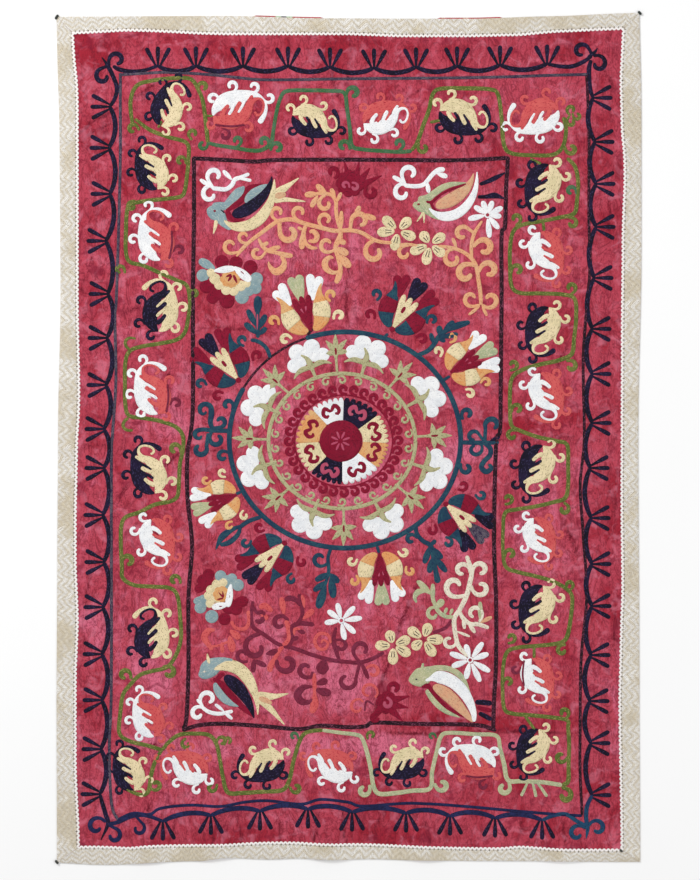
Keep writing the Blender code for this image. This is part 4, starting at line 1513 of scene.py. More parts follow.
# The hooked mark in each sector.
HOOK = (
    (-2.6, 1.6, 2), (-4.4, 3, 2.6), (-6.4, 0, 3.2), (-3.8, -3.8, 3.4), (0, -0.6, 2.4),
    (3.8, -3.8, 3.4), (6.4, 0, 3.2), (4.4, 3, 2.6), (2.6, 1.6, 2),
)


def draw_ring(work):
    work.line("teal", oval(RING_X, RING_Y, RING_WIDE, RING_TALL, 151, 319, 5.0), 0)
    work.line("black", oval(RING_X, RING_Y, RING_WIDE, RING_TALL, 109, 45, 2.4, 16), 0)
    draw_lines(work, RING_LINES)
    draw_coils(work, RING_COILS)
    draw_leaves(work, RING_LEAVES)
    draw_free_curls(work, RING_CURLS)


def draw_garland(work):
    work.line("sage", oval(GARLAND_X, GARLAND_Y, GARLAND_WIDE, GARLAND_TALL, 0, 361, 3.8), 0)
    for x, y in BOLLS:
        place = facing_out(x, y)
        for lobe_x, lobe_y, radius in BOLL_LOBES:
            work.fan("white", lobe_x, lobe_y, 0.0, radius, place=place)
        work.line("sage", BOLL_STEM, 2, place)
        for side in (-1, 1):
            rows = ((0, -11, 4), (9 * side, -10, 5.4), (15 * side, -11.5, 3.6), (20.5 * side, -15.5, 1))
            work.line("sage", rows, 2, place)
    for x, y in LEAF_STARS:
        place = facing_out(x, y)
        for tip_x, tip_y in STAR_TIPS:
            rows = ((0, -3, 4), (tip_x * 0.5, tip_y * 0.5 - 1, 5.4), (tip_x, tip_y, 0.8))
            work.line("sage", rows, 0, place)
        work.line("sage", ((0, -22, 2.6), (0, -9, 2.8), (0, -4, 6), (0, 2, 7)), 0, place)
        work.line("crimson", ((0, -5, 1.4), (0.3, -1.5, 2.4), (0, 2, 1.4)), 2, place)
    for number in range(GARLAND_CURLS):
        turned = 360.0 * (number + 0.5) / GARLAND_CURLS
        angle = math.radians(turned)
        x = GARLAND_X + (GARLAND_WIDE - 6.6) * math.cos(angle)
        y = GARLAND_Y - (GARLAND_TALL - 6.6) * math.sin(angle)
        turn = 1 if math.cos(angle) > 0 else -1
        work.curl("sage", 0, 0, turned + 20 * turn, -turn, 3.9, 0, Place(x, y), 0.72, 330)


def draw_medallion(work):
    work.fan("crimson", DISC_X, MEDAL_Y, 0.0, 21.8, layer=1, squash=0.96)
    for number in range(8):
        angle = math.radians(45 * number + 20)
        rows = [
            (DISC_X + reach * math.cos(angle), MEDAL_Y - reach * math.sin(angle), width)
            for reach, width in ((2.5, 1.0), (6.5, 2.4), (10.0, 1.2))
        ]
        work.line("rose", rows, 3)
    for (thread, first), (_, last) in zip(SECTORS, SECTORS[1:]):
        work.fan(
            thread, MEDAL_X, MEDAL_Y, 20.5, 46.5, first, last - first, lobes=6, notch=0.09,
            squash=MEDAL_SQUASH,
        )
        middle = (first + last) / 2
        angle = math.radians(middle)
        x = MEDAL_X + 33 * math.cos(angle)
        y = MEDAL_Y - 33 * MEDAL_SQUASH * math.sin(angle)
        work.line("crimson" if thread != "navy" else "rose", HOOK, 2, Place(x, y, middle + 90, 1.3))
    work.line("crimson", oval(SCROLL_X, MEDAL_Y, 49, 45.8, 0, 361, 1.6), 0)
    for number in range(SCROLL_CURLS):
        turned = 360.0 * number / SCROLL_CURLS
        angle = math.radians(turned)
        x = SCROLL_X + SCROLL_WIDE * math.cos(angle)
        y = MEDAL_Y - SCROLL_TALL * math.sin(angle)
        work.curl("crimson", 0, 0, turned + 180, -1, 4.3, 0, Place(x, y), 1.05, 330)


BIRDS = by_thread(Line, {
    "cream": (
        (0, ((216.5, 220, 4), (215.5, 226, 3.6), (213.4, 234, 1))),
        (1, (
            (224, 220.5, 2), (231, 225.6, 6.4), (240, 227, 9.6), (250, 225, 11), (259, 219.4, 11.5),
            (266, 211, 10.4), (271, 201, 7.6), (273.6, 190, 4.8), (274.4, 179.5, 1),
        )),
        (0, ((274, 195, 8), (282, 190, 8), (290, 184.5, 4.4), (299, 178, 1))),
        (0, ((274, 201, 6), (283, 199.6, 5), (294, 200.4, 3.4), (305.5, 201.6, 1))),
        (0, ((423.4, 212, 2.6), (420.5, 217, 2.2), (416.8, 221.6, 1))),
        (0, ((423.8, 212, 2.6), (424, 217, 2.2), (424, 223, 1))),
        (0, ((209.6, 664, 4.4), (208.2, 659, 3.4), (207.3, 653.6, 1))),
        (1, (
            (214, 669.5, 2), (220, 667, 7), (229, 665.5, 12), (239, 669, 12.5), (247, 677, 12),
            (252.5, 687, 9.5), (256, 697, 6), (257.6, 706, 3.4), (257.8, 714.5, 1),
        )),
        (0, ((256.5, 695, 8), (266, 696.4, 8.4), (276, 696, 5), (288.5, 693.4, 1))),
        (0, (
            (257, 698.5, 6), (265, 703.4, 7.4), (273, 711.4, 5.4), (279, 718.4, 3.2),
            (284.5, 724.5, 1),
        )),
    ),
    "sky": (
        (0, (
            (207, 209, 3), (210.5, 210.6, 12), (215, 212.4, 16), (219.4, 216.4, 13),
            (224, 223, 8.4), (231, 229.5, 4),
        )),
        (0, (
            (212, 206, 6), (220, 206, 8), (226, 206, 8), (231, 201, 9), (236, 196, 10.6),
            (240.6, 191, 9), (244.3, 186.4, 1.4),
        )),
        (1, (
            (245.5, 203, 2), (248.5, 197.5, 8), (255, 192.5, 9), (261, 188.5, 7), (268, 184.5, 1.4),
        )),
        (0, (
            (198.5, 675.5, 3), (203.5, 673.5, 13), (209.5, 668.5, 18), (216, 664.4, 15),
            (224, 660.6, 7), (233, 660.4, 3),
        )),
        (1, (
            (215, 682.5, 4), (217.5, 690, 7.5), (223, 697.4, 8), (230, 702.8, 6), (239, 706.4, 1),
        )),
    ),
    "crimson": (
        (0, (
            (226, 211, 4), (233, 206, 6), (240, 201, 7), (245, 195, 6), (249, 188.5, 6),
            (257, 185.5, 3), (263, 184, 1),
        )),
        (0, ((227, 210, 4), (230, 217, 6), (237, 220.5, 4), (245, 219, 1.4))),
        (3, ((214.6, 210, 2.6), (214.9, 212.2, 2.6))),
        (1, (
            (426, 201.6, 2.6), (432, 202, 2.8), (441, 194.4, 2.6), (452, 189, 2.6),
            (466, 184.6, 2.6), (471.5, 183.6, 1),
        )),
        (0, ((431, 202, 3), (432.6, 207.6, 3.6), (438, 212, 2.4), (446, 212, 1.6))),
        (3, ((418.4, 203.4, 3), (418.7, 205.4, 3))),
        (0, (
            (213, 678.5, 3), (218, 682, 6), (224, 687, 7), (231, 695.5, 7), (239, 704, 6.6),
            (247, 711, 5), (253, 716.8, 1),
        )),
        (0, ((216, 681, 4), (221, 675, 5), (225, 674, 3))),
        (1, (
            (421.5, 687.3, 2.4), (427.5, 685.5, 5), (430, 688.5, 4.6), (437, 697.5, 4.4),
            (446, 706.5, 4), (455, 712, 3.6), (464, 717, 1),
        )),
        (0, ((477, 707.4, 4), (484, 709, 4.4), (491.5, 710.4, 4))),
    ),
    "navy": (
        (2, (
            (232, 214.5, 6), (238, 213.4, 10.5), (247, 209.4, 12.5), (256, 203, 11.5),
            (263, 196, 9.5), (268.4, 188, 6.4), (271, 182, 3.6), (272, 176.5, 1),
        )),
        (1, ((220.5, 209.6, 1.2), (224.4, 213, 1.4))),
        (0, ((479.5, 184.6, 3.4), (488, 181.4, 4.4), (496.5, 177.4, 4.6), (505.6, 172.5, 1))),
        (0, ((477.5, 197, 3.4), (486, 196.8, 4), (495, 195.6, 6), (504.6, 198.8, 1))),
        (2, (
            (224.5, 676, 6), (231, 681, 11.5), (239, 688.5, 13), (246, 698, 10), (251, 708, 6),
            (254, 718, 1),
        )),
        (3, ((416.2, 678.4, 2), (416.6, 679.8, 2))),
        (0, ((475, 702, 5), (484, 702.4, 5.4), (492, 703.4, 5))),
        (0, ((478.5, 712.8, 4), (484, 715.4, 4.8), (491.5, 719.5, 4.6))),
    ),
    "peach": (
        (1, ((275, 196, 7), (280.5, 195.4, 7.6), (286, 194, 4))),
        (1, (
            (436, 207.5, 5), (441, 204.6, 10), (449, 201, 13), (458, 195.6, 12.6),
            (466, 188.6, 9.4), (471, 181.4, 5), (473.6, 173.6, 1),
        )),
        (1, ((259, 697.4, 5), (265, 700, 7), (272, 703.4, 2.6))),
        (1, (
            (433, 686, 5), (439, 689, 10), (447, 694.5, 12.5), (455.5, 702.5, 11.5),
            (463.5, 711.5, 8.5), (469, 717.5, 5), (472.5, 722, 1),
        )),
    ),
    "mist": (
        (0, (
            (415, 202, 3), (416, 203.5, 10), (421, 205, 14), (427, 209, 11), (434, 215.5, 6),
            (440, 219.5, 2),
        )),
        (0, (
            (418, 199, 5), (427, 198.4, 7.4), (434, 193.5, 6.6), (442, 188, 6.4), (452, 184.4, 5),
            (466, 183, 1.2),
        )),
        (0, ((422, 670, 3.6), (423, 663, 2.2))),
        (0, (
            (408.5, 680, 3), (413, 679.4, 12), (420, 677.4, 19), (428, 673.4, 15), (436, 669.4, 8),
        )),
        (0, (
            (426, 670.4, 6), (436, 668, 5.6), (448, 668.6, 5.6), (458, 673.6, 6), (464.4, 681, 4.4),
            (470, 692.5, 1),
        )),
        (0, (
            (426.5, 689.5, 5), (432, 697.5, 6.4), (439, 705.5, 6.4), (448, 712, 5),
            (459.5, 717.2, 1),
        )),
    ),
    "white": (
        (2, (
            (429, 208.5, 1.5), (435, 213.4, 5), (443, 216.4, 9), (453, 215.4, 10),
            (462, 210.4, 9.4), (469.6, 202, 8), (474.6, 192, 5.8), (476.6, 182, 3.6), (477, 172, 1),
        )),
        (2, (
            (425.5, 680.5, 2), (431, 678.5, 5), (437.5, 677, 12), (446, 678.5, 13),
            (455, 683.5, 12.5), (463, 691.5, 11.5), (469.5, 702, 9), (473.5, 713, 6),
            (474, 721.5, 3.4),
        )),
    ),
    "ivory": (
        (3, ((204.2, 670.6, 2.4), (204.8, 672.4, 2.4))),
    ),
})
SPRIGS = by_thread(Line, {
    "white": (
        (0, (
            (212, 188.3, 4), (217, 188.8, 4.4), (226, 189.3, 4.4), (232, 185, 4.6),
            (235, 179.6, 4.4), (241, 177.4, 4), (249.5, 173.8, 3.4),
        )),
        (0, ((239, 178, 3), (251.5, 180.8, 3.4))),
        (0, (
            (404, 185.4, 4), (415, 186.4, 4.4), (423, 185, 4.4), (428, 180, 4.4), (433, 174, 4.6),
            (439, 170, 5.2), (445, 169.6, 4.4),
        )),
        (0, ((202, 707, 3.6), (209, 711.8, 4), (219.4, 713.6, 4), (233, 711, 3.6))),
    ),
})
SPRIG_LEAVES = by_thread(Leaf, {
    "white": (
        (0, 232, 180, 223, 170.5, 4.6), (0, 211, 187, 200, 179.4, 4.4),
        (0, 437, 173.5, 447.5, 177, 5.4), (0, 405, 183.4, 392.5, 176.4, 4.8),
        (0, 427, 182, 428.8, 193, 4.8), (0, 202, 705, 197, 699, 3.4), (0, 224, 711, 215, 704, 3.6),
        (0, 224, 712, 232.5, 719, 3.8),
    ),
})


# A daisy's petals are given as (angle, length) about its middle.
Daisy = namedtuple("Daisy", "thread x y width marked petals")
DAISIES = (
    Daisy("white", 487.5, 215, 6.0, False, (
        (110, 15), (70, 15), (27, 17), (-6, 14), (-51, 18), (-85, 23), (192, 20), (147, 16),
    )),
    Daisy("white", 341.3, 620.4, 6.0, False, (
        (144, 17), (103, 18), (188, 17), (46, 19.5), (7, 21), (-42, 19), (-80, 20),
    )),
    Daisy("white", 470.1, 660, 6.2, False, (
        (106, 16.5), (54, 22), (19, 19.6), (-30, 23), (-65, 24), (257, 19.6), (199, 19.6), (161, 21.6),
    )),
    Daisy("cream", 398, 231, 10.5, True, ((137, 20.5), (46, 18), (-22, 19), (-102, 20), (184, 21))),
    Daisy("cream", 430, 244.5, 10.5, True, ((125, 15.5), (34, 18), (-37, 18.6), (-103, 21), (202, 21.5))),
    Daisy("cream", 393, 645, 10.5, True, ((107, 15.5), (22, 18.6), (-29, 20), (-90, 19.4), (182, 18))),
    Daisy("cream", 423.5, 639, 10.5, True, ((145, 19), (70, 17), (-2, 20), (-57, 20.4), (221, 15))),
)


def draw_daisy(work, daisy):
    for turned, length in daisy.petals:
        angle = math.radians(turned)
        ux, uy = math.cos(angle), -math.sin(angle)
        rows = [
            (daisy.x + ux * length * share, daisy.y + uy * length * share, daisy.width * wide)
            for share, wide in ((0.16, 0.35), (0.42, 0.8), (0.7, 1.0), (1.0, 0.6))
        ]
        work.line(daisy.thread, rows)
        if daisy.marked:
            for lean in (-0.7, 0.9):
                near, far = length * 0.3, length * 0.62
                work.line("navy", (
                    (daisy.x + ux * near - uy * lean, daisy.y + uy * near + ux * lean, 0.7),
                    (daisy.x + ux * far - uy * lean * 2, daisy.y + uy * far + ux * lean * 2, 0.9),
                ), 2)
    if not daisy.marked:
        work.fan("white", daisy.x, daisy.y, 1.8, 3.4, layer=1)


ORANGE_VINE = (
    (
        (236.5, 256.5, 2), (241, 250.5, 4), (250, 241.5, 4), (262, 232.5, 4.4), (272, 225, 4.6),
        (279, 221, 4.6), (292, 219.6, 4.6), (306, 224, 4.8), (320, 227.6, 4.8), (335, 231, 4.6),
        (350, 230.5, 4.4), (362, 233, 4.4), (372, 239, 4.4), (381, 242, 4), (392, 243, 3.6),
    ),
    ((399, 245, 3), (408, 244.5, 3.6), (418, 246, 3)),
    (
        (438, 246, 3), (452, 248, 4), (461, 251, 4), (470, 257, 4.4), (476, 266, 4.4),
        (478.4, 280, 4.4), (480.4, 294, 4.4), (481, 305, 4),
    ),
    ((471.5, 258, 3.6), (471.4, 245, 4), (474.5, 233, 4), (482, 221, 2.6)),
    ((306, 225, 4), (303.5, 234, 5), (305.6, 243, 4.2), (311.5, 247.8, 4.2), (317.5, 248, 2)),
    ((308, 241, 2.6), (315, 240.8, 5.4), (317, 235.5, 6), (312.6, 231, 4.8), (309.5, 233, 2.6)),
    (
        (341, 232, 4), (339.5, 239, 6.6), (335.5, 247, 5), (338, 257, 5), (340.4, 268, 4.8),
        (339, 276, 6.6), (336, 283.6, 5),
    ),
    (
        (340.5, 271.6, 3.4), (333, 272.8, 4.6), (326.2, 268.6, 6.8), (325.2, 261.8, 6.8),
        (330, 257.2, 4.2), (333.5, 258.5, 2),
    ),
    (
        (341, 231, 4.4), (338, 221.5, 4.4), (336, 211, 4.2), (336, 202, 4.2), (332.5, 196, 4),
        (326, 193.8, 4), (316, 193.6, 3.6),
    ),
    (
        (258.5, 238.6, 2.4), (262, 245, 4.4), (267, 250.5, 4.4), (275, 252.5, 4), (284, 254.6, 5.4),
        (293, 256, 3),
    ),
    (
        (281, 256, 3.4), (284.4, 262, 5.4), (282.2, 268.8, 7.8), (275.5, 271.8, 7.8),
        (269.8, 266.5, 4), (268.6, 261.6, 1.4),
    ),
)
ORANGE_LEAVES = by_thread(Leaf, {
    "apricot": (
        (0, 480, 306, 468.5, 315, 3.4), (0, 482, 306, 487, 316, 3.4),
        (0, 456.5, 248, 452.5, 238, 4), (0, 303.5, 232, 301.5, 249.5, 7),
        (0, 303, 230, 297.5, 227.5, 3.6), (0, 336, 248, 348.5, 254.5, 7.4),
        (0, 338.5, 255, 350.5, 267.5, 8.6), (0, 337, 240, 346, 243.5, 5.6),
        (0, 327, 195.5, 316.5, 184.6, 6.4), (0, 318, 194, 304.5, 195, 6.4),
        (0, 318, 195.5, 311, 207.5, 5.6), (0, 335, 198, 331, 188.5, 5),
        (0, 336, 203, 341.5, 192.5, 4), (0, 341, 230, 341.5, 211, 4.6),
        (0, 354.5, 218, 359.8, 206, 5.4), (0, 361, 214.5, 376, 219, 6),
        (0, 261, 246, 268.5, 242.5, 4.4), (0, 266, 250.5, 280.5, 247, 5),
        (0, 279, 254.5, 293, 256, 5.4),
    ),
})
STARS = by_thread(Line, {
    "crimson": (
        (0, ((350, 184, 10), (344.5, 162, 1))), (0, ((355, 184, 10), (359, 162, 1))),
        (0, ((358, 184, 10), (370, 168, 1))), (0, ((360, 186, 9), (382, 175.6, 1))),
        (0, ((388, 701, 11), (409.6, 696, 1))), (0, ((388, 704, 11), (408.5, 707.6, 1))),
        (0, ((388, 706, 11), (402.6, 721, 1))), (0, ((384, 704, 10), (372, 719, 4))),
        (0, ((384, 702, 11), (389, 690, 5))),
    ),
})
STAR_DISCS = by_thread(Disc, {
    "crimson": (
        (0, 350, 183.5, 14.6, 0.96, 9), (0, 387, 702.5, 11.5, 1.0, 9),
    ),
})
STAR_CURLS = by_thread(FreeCurl, {
    "crimson": (
        (333, 172.5, -40, 1, 5.2), (371, 192, 160, 1, 6), (394, 688, 200, -1, 5.6),
        (375.5, 718, 90, 1, 4.6),
    ),
    "rose": (
        (345.5, 185.5, 0, 1, 3.6), (354.5, 187, 90, -1, 3.8), (387, 703, 60, -1, 4.6),
    ),
})
SCROLLS = by_thread(Line, {
    "maroon": (
        (0, (
            (252.6, 601, 2.6), (251.3, 614, 3.6), (253, 626.5, 4), (264, 634.4, 4), (279, 644.4, 4),
            (294.5, 648.4, 4), (312.5, 654.8, 4), (332, 660, 4), (345, 661.5, 4), (359, 662.4, 4),
            (372, 658.6, 4), (384, 652, 3),
        )),
        (0, (
            (288, 647, 4), (292, 638, 5), (291, 628, 4.4), (299.5, 623.4, 4.6), (314, 624.4, 4.6),
        )),
        (0, ((297, 624, 3.6), (302, 616, 4), (302, 606, 4), (299, 594, 4.6))),
        (0, ((301, 606, 3.4), (296, 600, 4.8), (289, 598, 5.4), (284.6, 600.5, 3))),
        (0, (
            (252.5, 606, 3), (257, 612.5, 3.6), (262, 612, 4.4), (263.8, 617.5, 5),
            (259.5, 621.8, 4.8), (255.2, 620, 3),
        )),
        (0, ((325, 659, 3), (322.6, 667.6, 13), (322.8, 674.6, 5))),
        (0, (
            (312.5, 686.4, 2), (303.5, 687.4, 5.8), (297.6, 694, 7.8), (300.8, 700.8, 7.4),
            (308, 702.2, 4.8), (313, 699, 2),
        )),
        (0, ((336, 627, 2.6), (333.5, 640, 4.6), (336, 650, 4.6), (339, 660, 3))),
        (0, ((364.5, 711, 1.6), (366.5, 701, 2.2), (374, 704.5, 1.4))),
        (0, ((451.5, 620, 3), (445, 628, 3.4), (433, 632.5, 3))),
    ),
    "coral": (
        (0, (
            (215, 630, 2), (208.5, 630.8, 6.4), (204.4, 637, 6.8), (208, 643.6, 5.4),
            (212.5, 650, 3.6),
        )),
        (0, ((210, 646.6, 2.6), (219, 645.4, 2.6), (228, 641.6, 2.4))),
        (0, (
            (231, 621, 3.6), (236, 628, 3.4), (245, 628.6, 4), (249, 621.6, 3.8),
            (248.4, 610.5, 4.4),
        )),
        (0, ((259, 607.6, 4), (265, 605.8, 6.4), (272.5, 611.4, 4))),
        (0, (
            (286, 620, 4.6), (289, 630, 5.4), (289, 640, 5.4), (282, 647, 4.6), (275.5, 657, 4),
            (270.5, 666, 6), (270, 672, 5),
        )),
        (0, ((294, 635, 2.6), (294.6, 629, 3), (300.5, 629.4, 2.6))),
        (0, (
            (331, 643, 2.6), (328, 635, 3.4), (319.6, 633.6, 3.6), (314.8, 640.5, 3.6),
            (318, 648.2, 3.6), (325, 648.8, 3.2), (328, 643, 2.6), (323.5, 639.8, 2.6),
            (321, 643, 2.4),
        )),
        (0, (
            (314, 673, 3.4), (314.6, 684, 4.4), (314.6, 694, 3.4), (314.6, 704, 8.6),
            (311.6, 713, 5),
        )),
    ),
    "ivory": (
        (0, (
            (467.6, 656.5, 3.6), (458.6, 646, 4.6), (455.4, 634.4, 4.6), (454.2, 619, 4.8),
            (460, 609, 4.8), (466.3, 596, 5), (470, 582, 4.8), (471.4, 571, 4.6), (466.5, 555.5, 4),
        )),
        (0, (
            (459.5, 611, 3), (463, 618, 4.4), (470, 623.8, 4.4), (478, 624.2, 4.4),
            (489, 627.8, 3.6),
        )),
    ),
    "mist": (
        (0, (
            (454, 617, 3.6), (446, 616.5, 4), (439, 612, 4.4), (434.5, 603.5, 3.8), (432, 593, 3.6),
        )),
        (0, ((431, 594, 2), (425.5, 589, 6.4), (420, 583, 5.4), (416.5, 581, 2))),
        (0, ((427, 591, 2), (418.5, 591.5, 6), (414.6, 597, 4), (416.5, 602.5, 2))),
    ),
})
FIELD_COILS = {
    "white": (
        (213, 188, 214.3, 176, 6, -1, 5), (214, 189, 209.8, 194, 6.3, 1, 4.9),
        (405, 184.5, 409, 173.5, 6.2, -1, 5.1), (407, 185.4, 402, 192.3, 6.4, 1, 5.1),
        (203, 707.4, 207.6, 698.8, 6.2, -1, 4.8), (204, 708, 197.8, 713, 5.2, 1, 4.7),
    ),
    "apricot": (
        (475, 234, 462.5, 233.2, 5.8, 1, 5), (472.5, 247, 484, 247.3, 6.6, -1, 6.6),
        (454, 248.6, 452.3, 258.3, 6.6, 1, 5.4), (475.5, 265.4, 466, 272.8, 7, 1, 6.6),
        (478, 272.4, 488.5, 270, 6.4, -1, 6.4), (480, 305, 471, 299.3, 6, -1, 4.6),
        (481.6, 305, 490, 300.3, 6.2, 1, 5.2), (374, 240.6, 374, 252, 7.6, 1, 5.9),
        (410, 245, 404.3, 252.8, 5.2, 1, 4.4), (240.5, 252, 230.5, 246.5, 5.8, -1, 4.3),
        (250, 242.6, 244, 237.3, 4.6, -1, 3.7), (278, 221.4, 277.2, 213, 5, -1, 4.3),
        (300, 221.6, 299, 212.8, 5.2, -1, 4.5), (322.5, 228, 325, 219.8, 5.2, -1, 4.4),
        (279.5, 222, 288.5, 233, 7, 1, 6.4), (336.5, 249.5, 327, 245.2, 6, -1, 4.5),
        (326, 194.5, 325, 203.8, 5.4, 1, 4.8), (350, 231, 359.5, 221, 6.8, -1, 5.5),
        (266, 251.5, 257.5, 253, 4.8, -1, 4.1),
    ),
    "maroon": (
        (288.5, 620.5, 280, 622.3, 5.6, 1, 4.9), (260.5, 633.6, 255.3, 647.3, 9, 1, 5.9),
        (248, 661, 242.5, 655.5, 5, -1, 4.2), (276.5, 659.5, 286.3, 663.3, 7.2, 1, 6.2),
        (312.5, 671.5, 306, 670, 6.4, -1, 4.9), (334.5, 640, 341, 645.2, 4.6, -1, 4),
        (360, 662, 347.3, 680.3, 7.4, -1, 4.7), (359.5, 661.5, 361, 649.8, 6.8, -1, 4.7),
    ),
    "coral": (
        (366, 668.4, 373, 671, 5, -1, 3.8), (375, 697.5, 369, 691.3, 6.8, 1, 3.3),
        (363.5, 702, 357.5, 706.3, 6, 1, 3.2),
    ),
    "ivory": (
        (470.6, 573.5, 462.3, 570, 5.5, 1, 5), (472, 575, 480, 569.5, 5.7, -1, 5.4),
        (470.5, 585, 480.5, 588.2, 6.2, 1, 5.3), (466, 595.6, 454.6, 587, 8, -1, 5.9),
        (479, 622, 475, 613.6, 6, 1, 4.5), (456, 640, 449.5, 641.7, 5, -1, 4),
    ),
    "mist": (
        (439, 608, 433, 613.5, 5, 1, 4.2),
    ),
}
SCROLL_LEAVES = by_thread(Leaf, {
    "maroon": (
        (0, 266, 654, 278.5, 650.8, 6.4), (0, 253, 660, 266.5, 666, 5.4),
        (0, 254, 659, 253, 672.5, 5.4), (0, 316, 684, 327.5, 680, 7),
        (0, 315.5, 689.5, 331, 693.5, 8.4), (0, 361, 662, 368.5, 678.5, 4.6),
        (0, 291, 640, 298.5, 637, 4.4), (0, 297, 630, 305, 633, 4.4),
    ),
    "coral": (
        (0, 222, 642, 222.5, 653, 4.4), (0, 229.5, 636, 233, 652, 8),
        (0, 230, 630, 240, 638.5, 7.4), (0, 284, 614, 281.5, 597, 6.4),
        (0, 304, 608, 301.5, 595, 5.4), (0, 302.5, 619, 314, 609.5, 6.4),
        (0, 261, 614, 268, 619, 6),
    ),
    "mist": (
        (0, 436, 608, 443.5, 599.5, 7.4), (0, 444, 615, 447, 607.5, 3.6),
        (0, 450, 615, 452.5, 608.5, 3.6), (0, 432.5, 603, 432.8, 583.5, 5),
        (0, 480.5, 622, 480, 601.5, 5),
    ),
    "ivory": (
        (0, 463, 617, 464.5, 629, 4), (0, 468, 622, 475, 633, 4.4), (0, 456, 631, 470, 636.5, 2.8),
    ),
    "peach": (
        (0, 480, 622.5, 492, 616.8, 4.4),
    ),
})


# Short dark threads knotted into the corners of the binding.
KNOTS = by_thread(Line, {
    "knot": (
        (6, ((58.5, 15, 2), (57, 17, 2.6), (55.5, 19.5, 2))),
        (6, ((638, 11.5, 2), (640, 13.5, 2.6), (641, 15, 2))),
        (6, ((55.5, 860, 2), (57, 862, 2.6), (58.5, 863.5, 2))),
        (6, ((619.5, 849, 2), (621, 850.5, 2.6), (622.5, 851.5, 2))),
    ),
})


# Cloth pieces


def dress(piece, material, node):
    """Gives a cloth piece its finish and its place on the model."""
    piece.data.materials.clear()
    piece.data.materials.append(material)
    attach(piece, "root")
    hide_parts(node)
    return piece


# Stretches of the top edge, in metres from the middle, where the lining shows past the binding.
SHOWING = ((-0.242, -0.06), (0.222, 0.381))


def build_lining(context):
    """A sheet under the whole cloth, out to a little inside the binding's edge."""
    cells = [round(length / (2 * context.scene.cloth_settings.cell)) for length in (1.45, 2.11)]
    piece, u, v = add_grid("lining_cloth", *cells)
    bottom, top = along_edge(BOTTOM.outer, u), along_edge(TOP.outer, u)
    left, right = along_edge(LEFT.outer, v), along_edge(RIGHT.outer, v)
    x = left[:, 0] * (1 - u) + right[:, 0] * u
    y = bottom[:, 1] * (1 - v) + top[:, 1] * v
    inset = 1.6 * MM
    x = x + inset * (1 - 2 * u)
    y = y + inset * (1 - 2 * v)
    showing = np.any([(x > start) & (x < end) for start, end in SHOWING], axis=0)
    y = np.where((v > 0.999) & showing, y + 4.2 * MM, y)
    move_points(piece, x, y, lift(x, y) + LINING_TOP - 0.4 * MM)
    dress(piece, print_material(), "lining")
    return {"FINISHED"}


def build_ground(context):
    """The crimson ground, with its folds, creases, painted shade beside its creases, and uneven wash."""
    cell = context.scene.cloth_settings.cell
    piece, u, v = add_grid("ground_sheet", round(1.37 / cell), round(2.04 / cell))
    points = cloth_points(u, v)
    x, y = points[:, 0], points[:, 1]
    move_points(piece, x, y, CLOTH_TOP + surface(x, y))
    # Painted shade along one side of each crease, for the material's crease attribute.
    shade = np.zeros_like(x)
    for crease, across, fade in crease_shares(x, y):
        shade = np.maximum(shade, crease.shade * fade * np.exp(-(((across - 0.9) / 0.8) ** 2)))
    wash = np.zeros_like(x)
    for patch in WASHES:
        px, py = to_metres(patch.x, patch.y)
        far = ((x - px) / (patch.wide * SQUARE)) ** 2 + ((y - py) / (patch.tall * SQUARE)) ** 2
        wash += patch.amount * np.exp(-far)
    add_attribute(piece, "crease", shade)
    add_attribute(piece, "wash", wash)
    dress(piece, cotton_material(), "ground_cloth")
    return {"FINISHED"}


# The binding's section, from its seam to its outer edge: the share of the way, and the rise.
BINDING_ACROSS = np.array((0.0, 0.03, 0.1, 0.25, 0.5, 0.75, 0.88, 0.95, 0.985, 1.0, 1.0, 0.97))
BINDING_RISES = np.array((0.0, 0.5, 0.9, 1.2, 1.3, 1.2, 0.9, 0.5, -0.1, -0.8, -1.5, -1.9)) * MM
BINDING_STEP = 11.0 * MM


def build_binding(context, strip, material):
    """A strip of brocade, puffed over its filling and rolled under at its outer edge."""
    across, rises = BINDING_ACROSS[:, None], BINDING_RISES[:, None]
    count = round((1.45 if strip.runs_along_x else 2.12) / BINDING_STEP)
    shares = np.linspace(0.0, 1.0, count + 1)
    seam, outer = along_edge(strip.seam, shares), along_edge(strip.outer, shares)
    places = seam[None] + (outer - seam)[None] * across[:, :, None]
    x, y = places[..., 0], places[..., 1]
    along = x if strip.runs_along_x else y
    ripple = 0.35 * np.sin(along * 95.0) * np.sin(along * 41.0 + 1.0) * rises.clip(0)
    height = CLOTH_TOP + lift(x, y) + rises + ripple
    points = np.column_stack((x.ravel(), y.ravel(), height.ravel()))
    width = np.hypot(*(outer - seam).T)[None, :] * across
    uvs = np.column_stack((along.ravel(), width.ravel()))
    faces = grid_faces(len(across), count + 1)
    if (strip.outward > 0) != strip.runs_along_x:
        faces = faces[:, ::-1]
    piece = mesh_object(f"brocade_{strip.name}", points, faces, uvs, "strip")
    dress(piece, material, f"binding_{strip.name}")


SEAM_POINTS = 4000
TOOTH_STEPS = 8


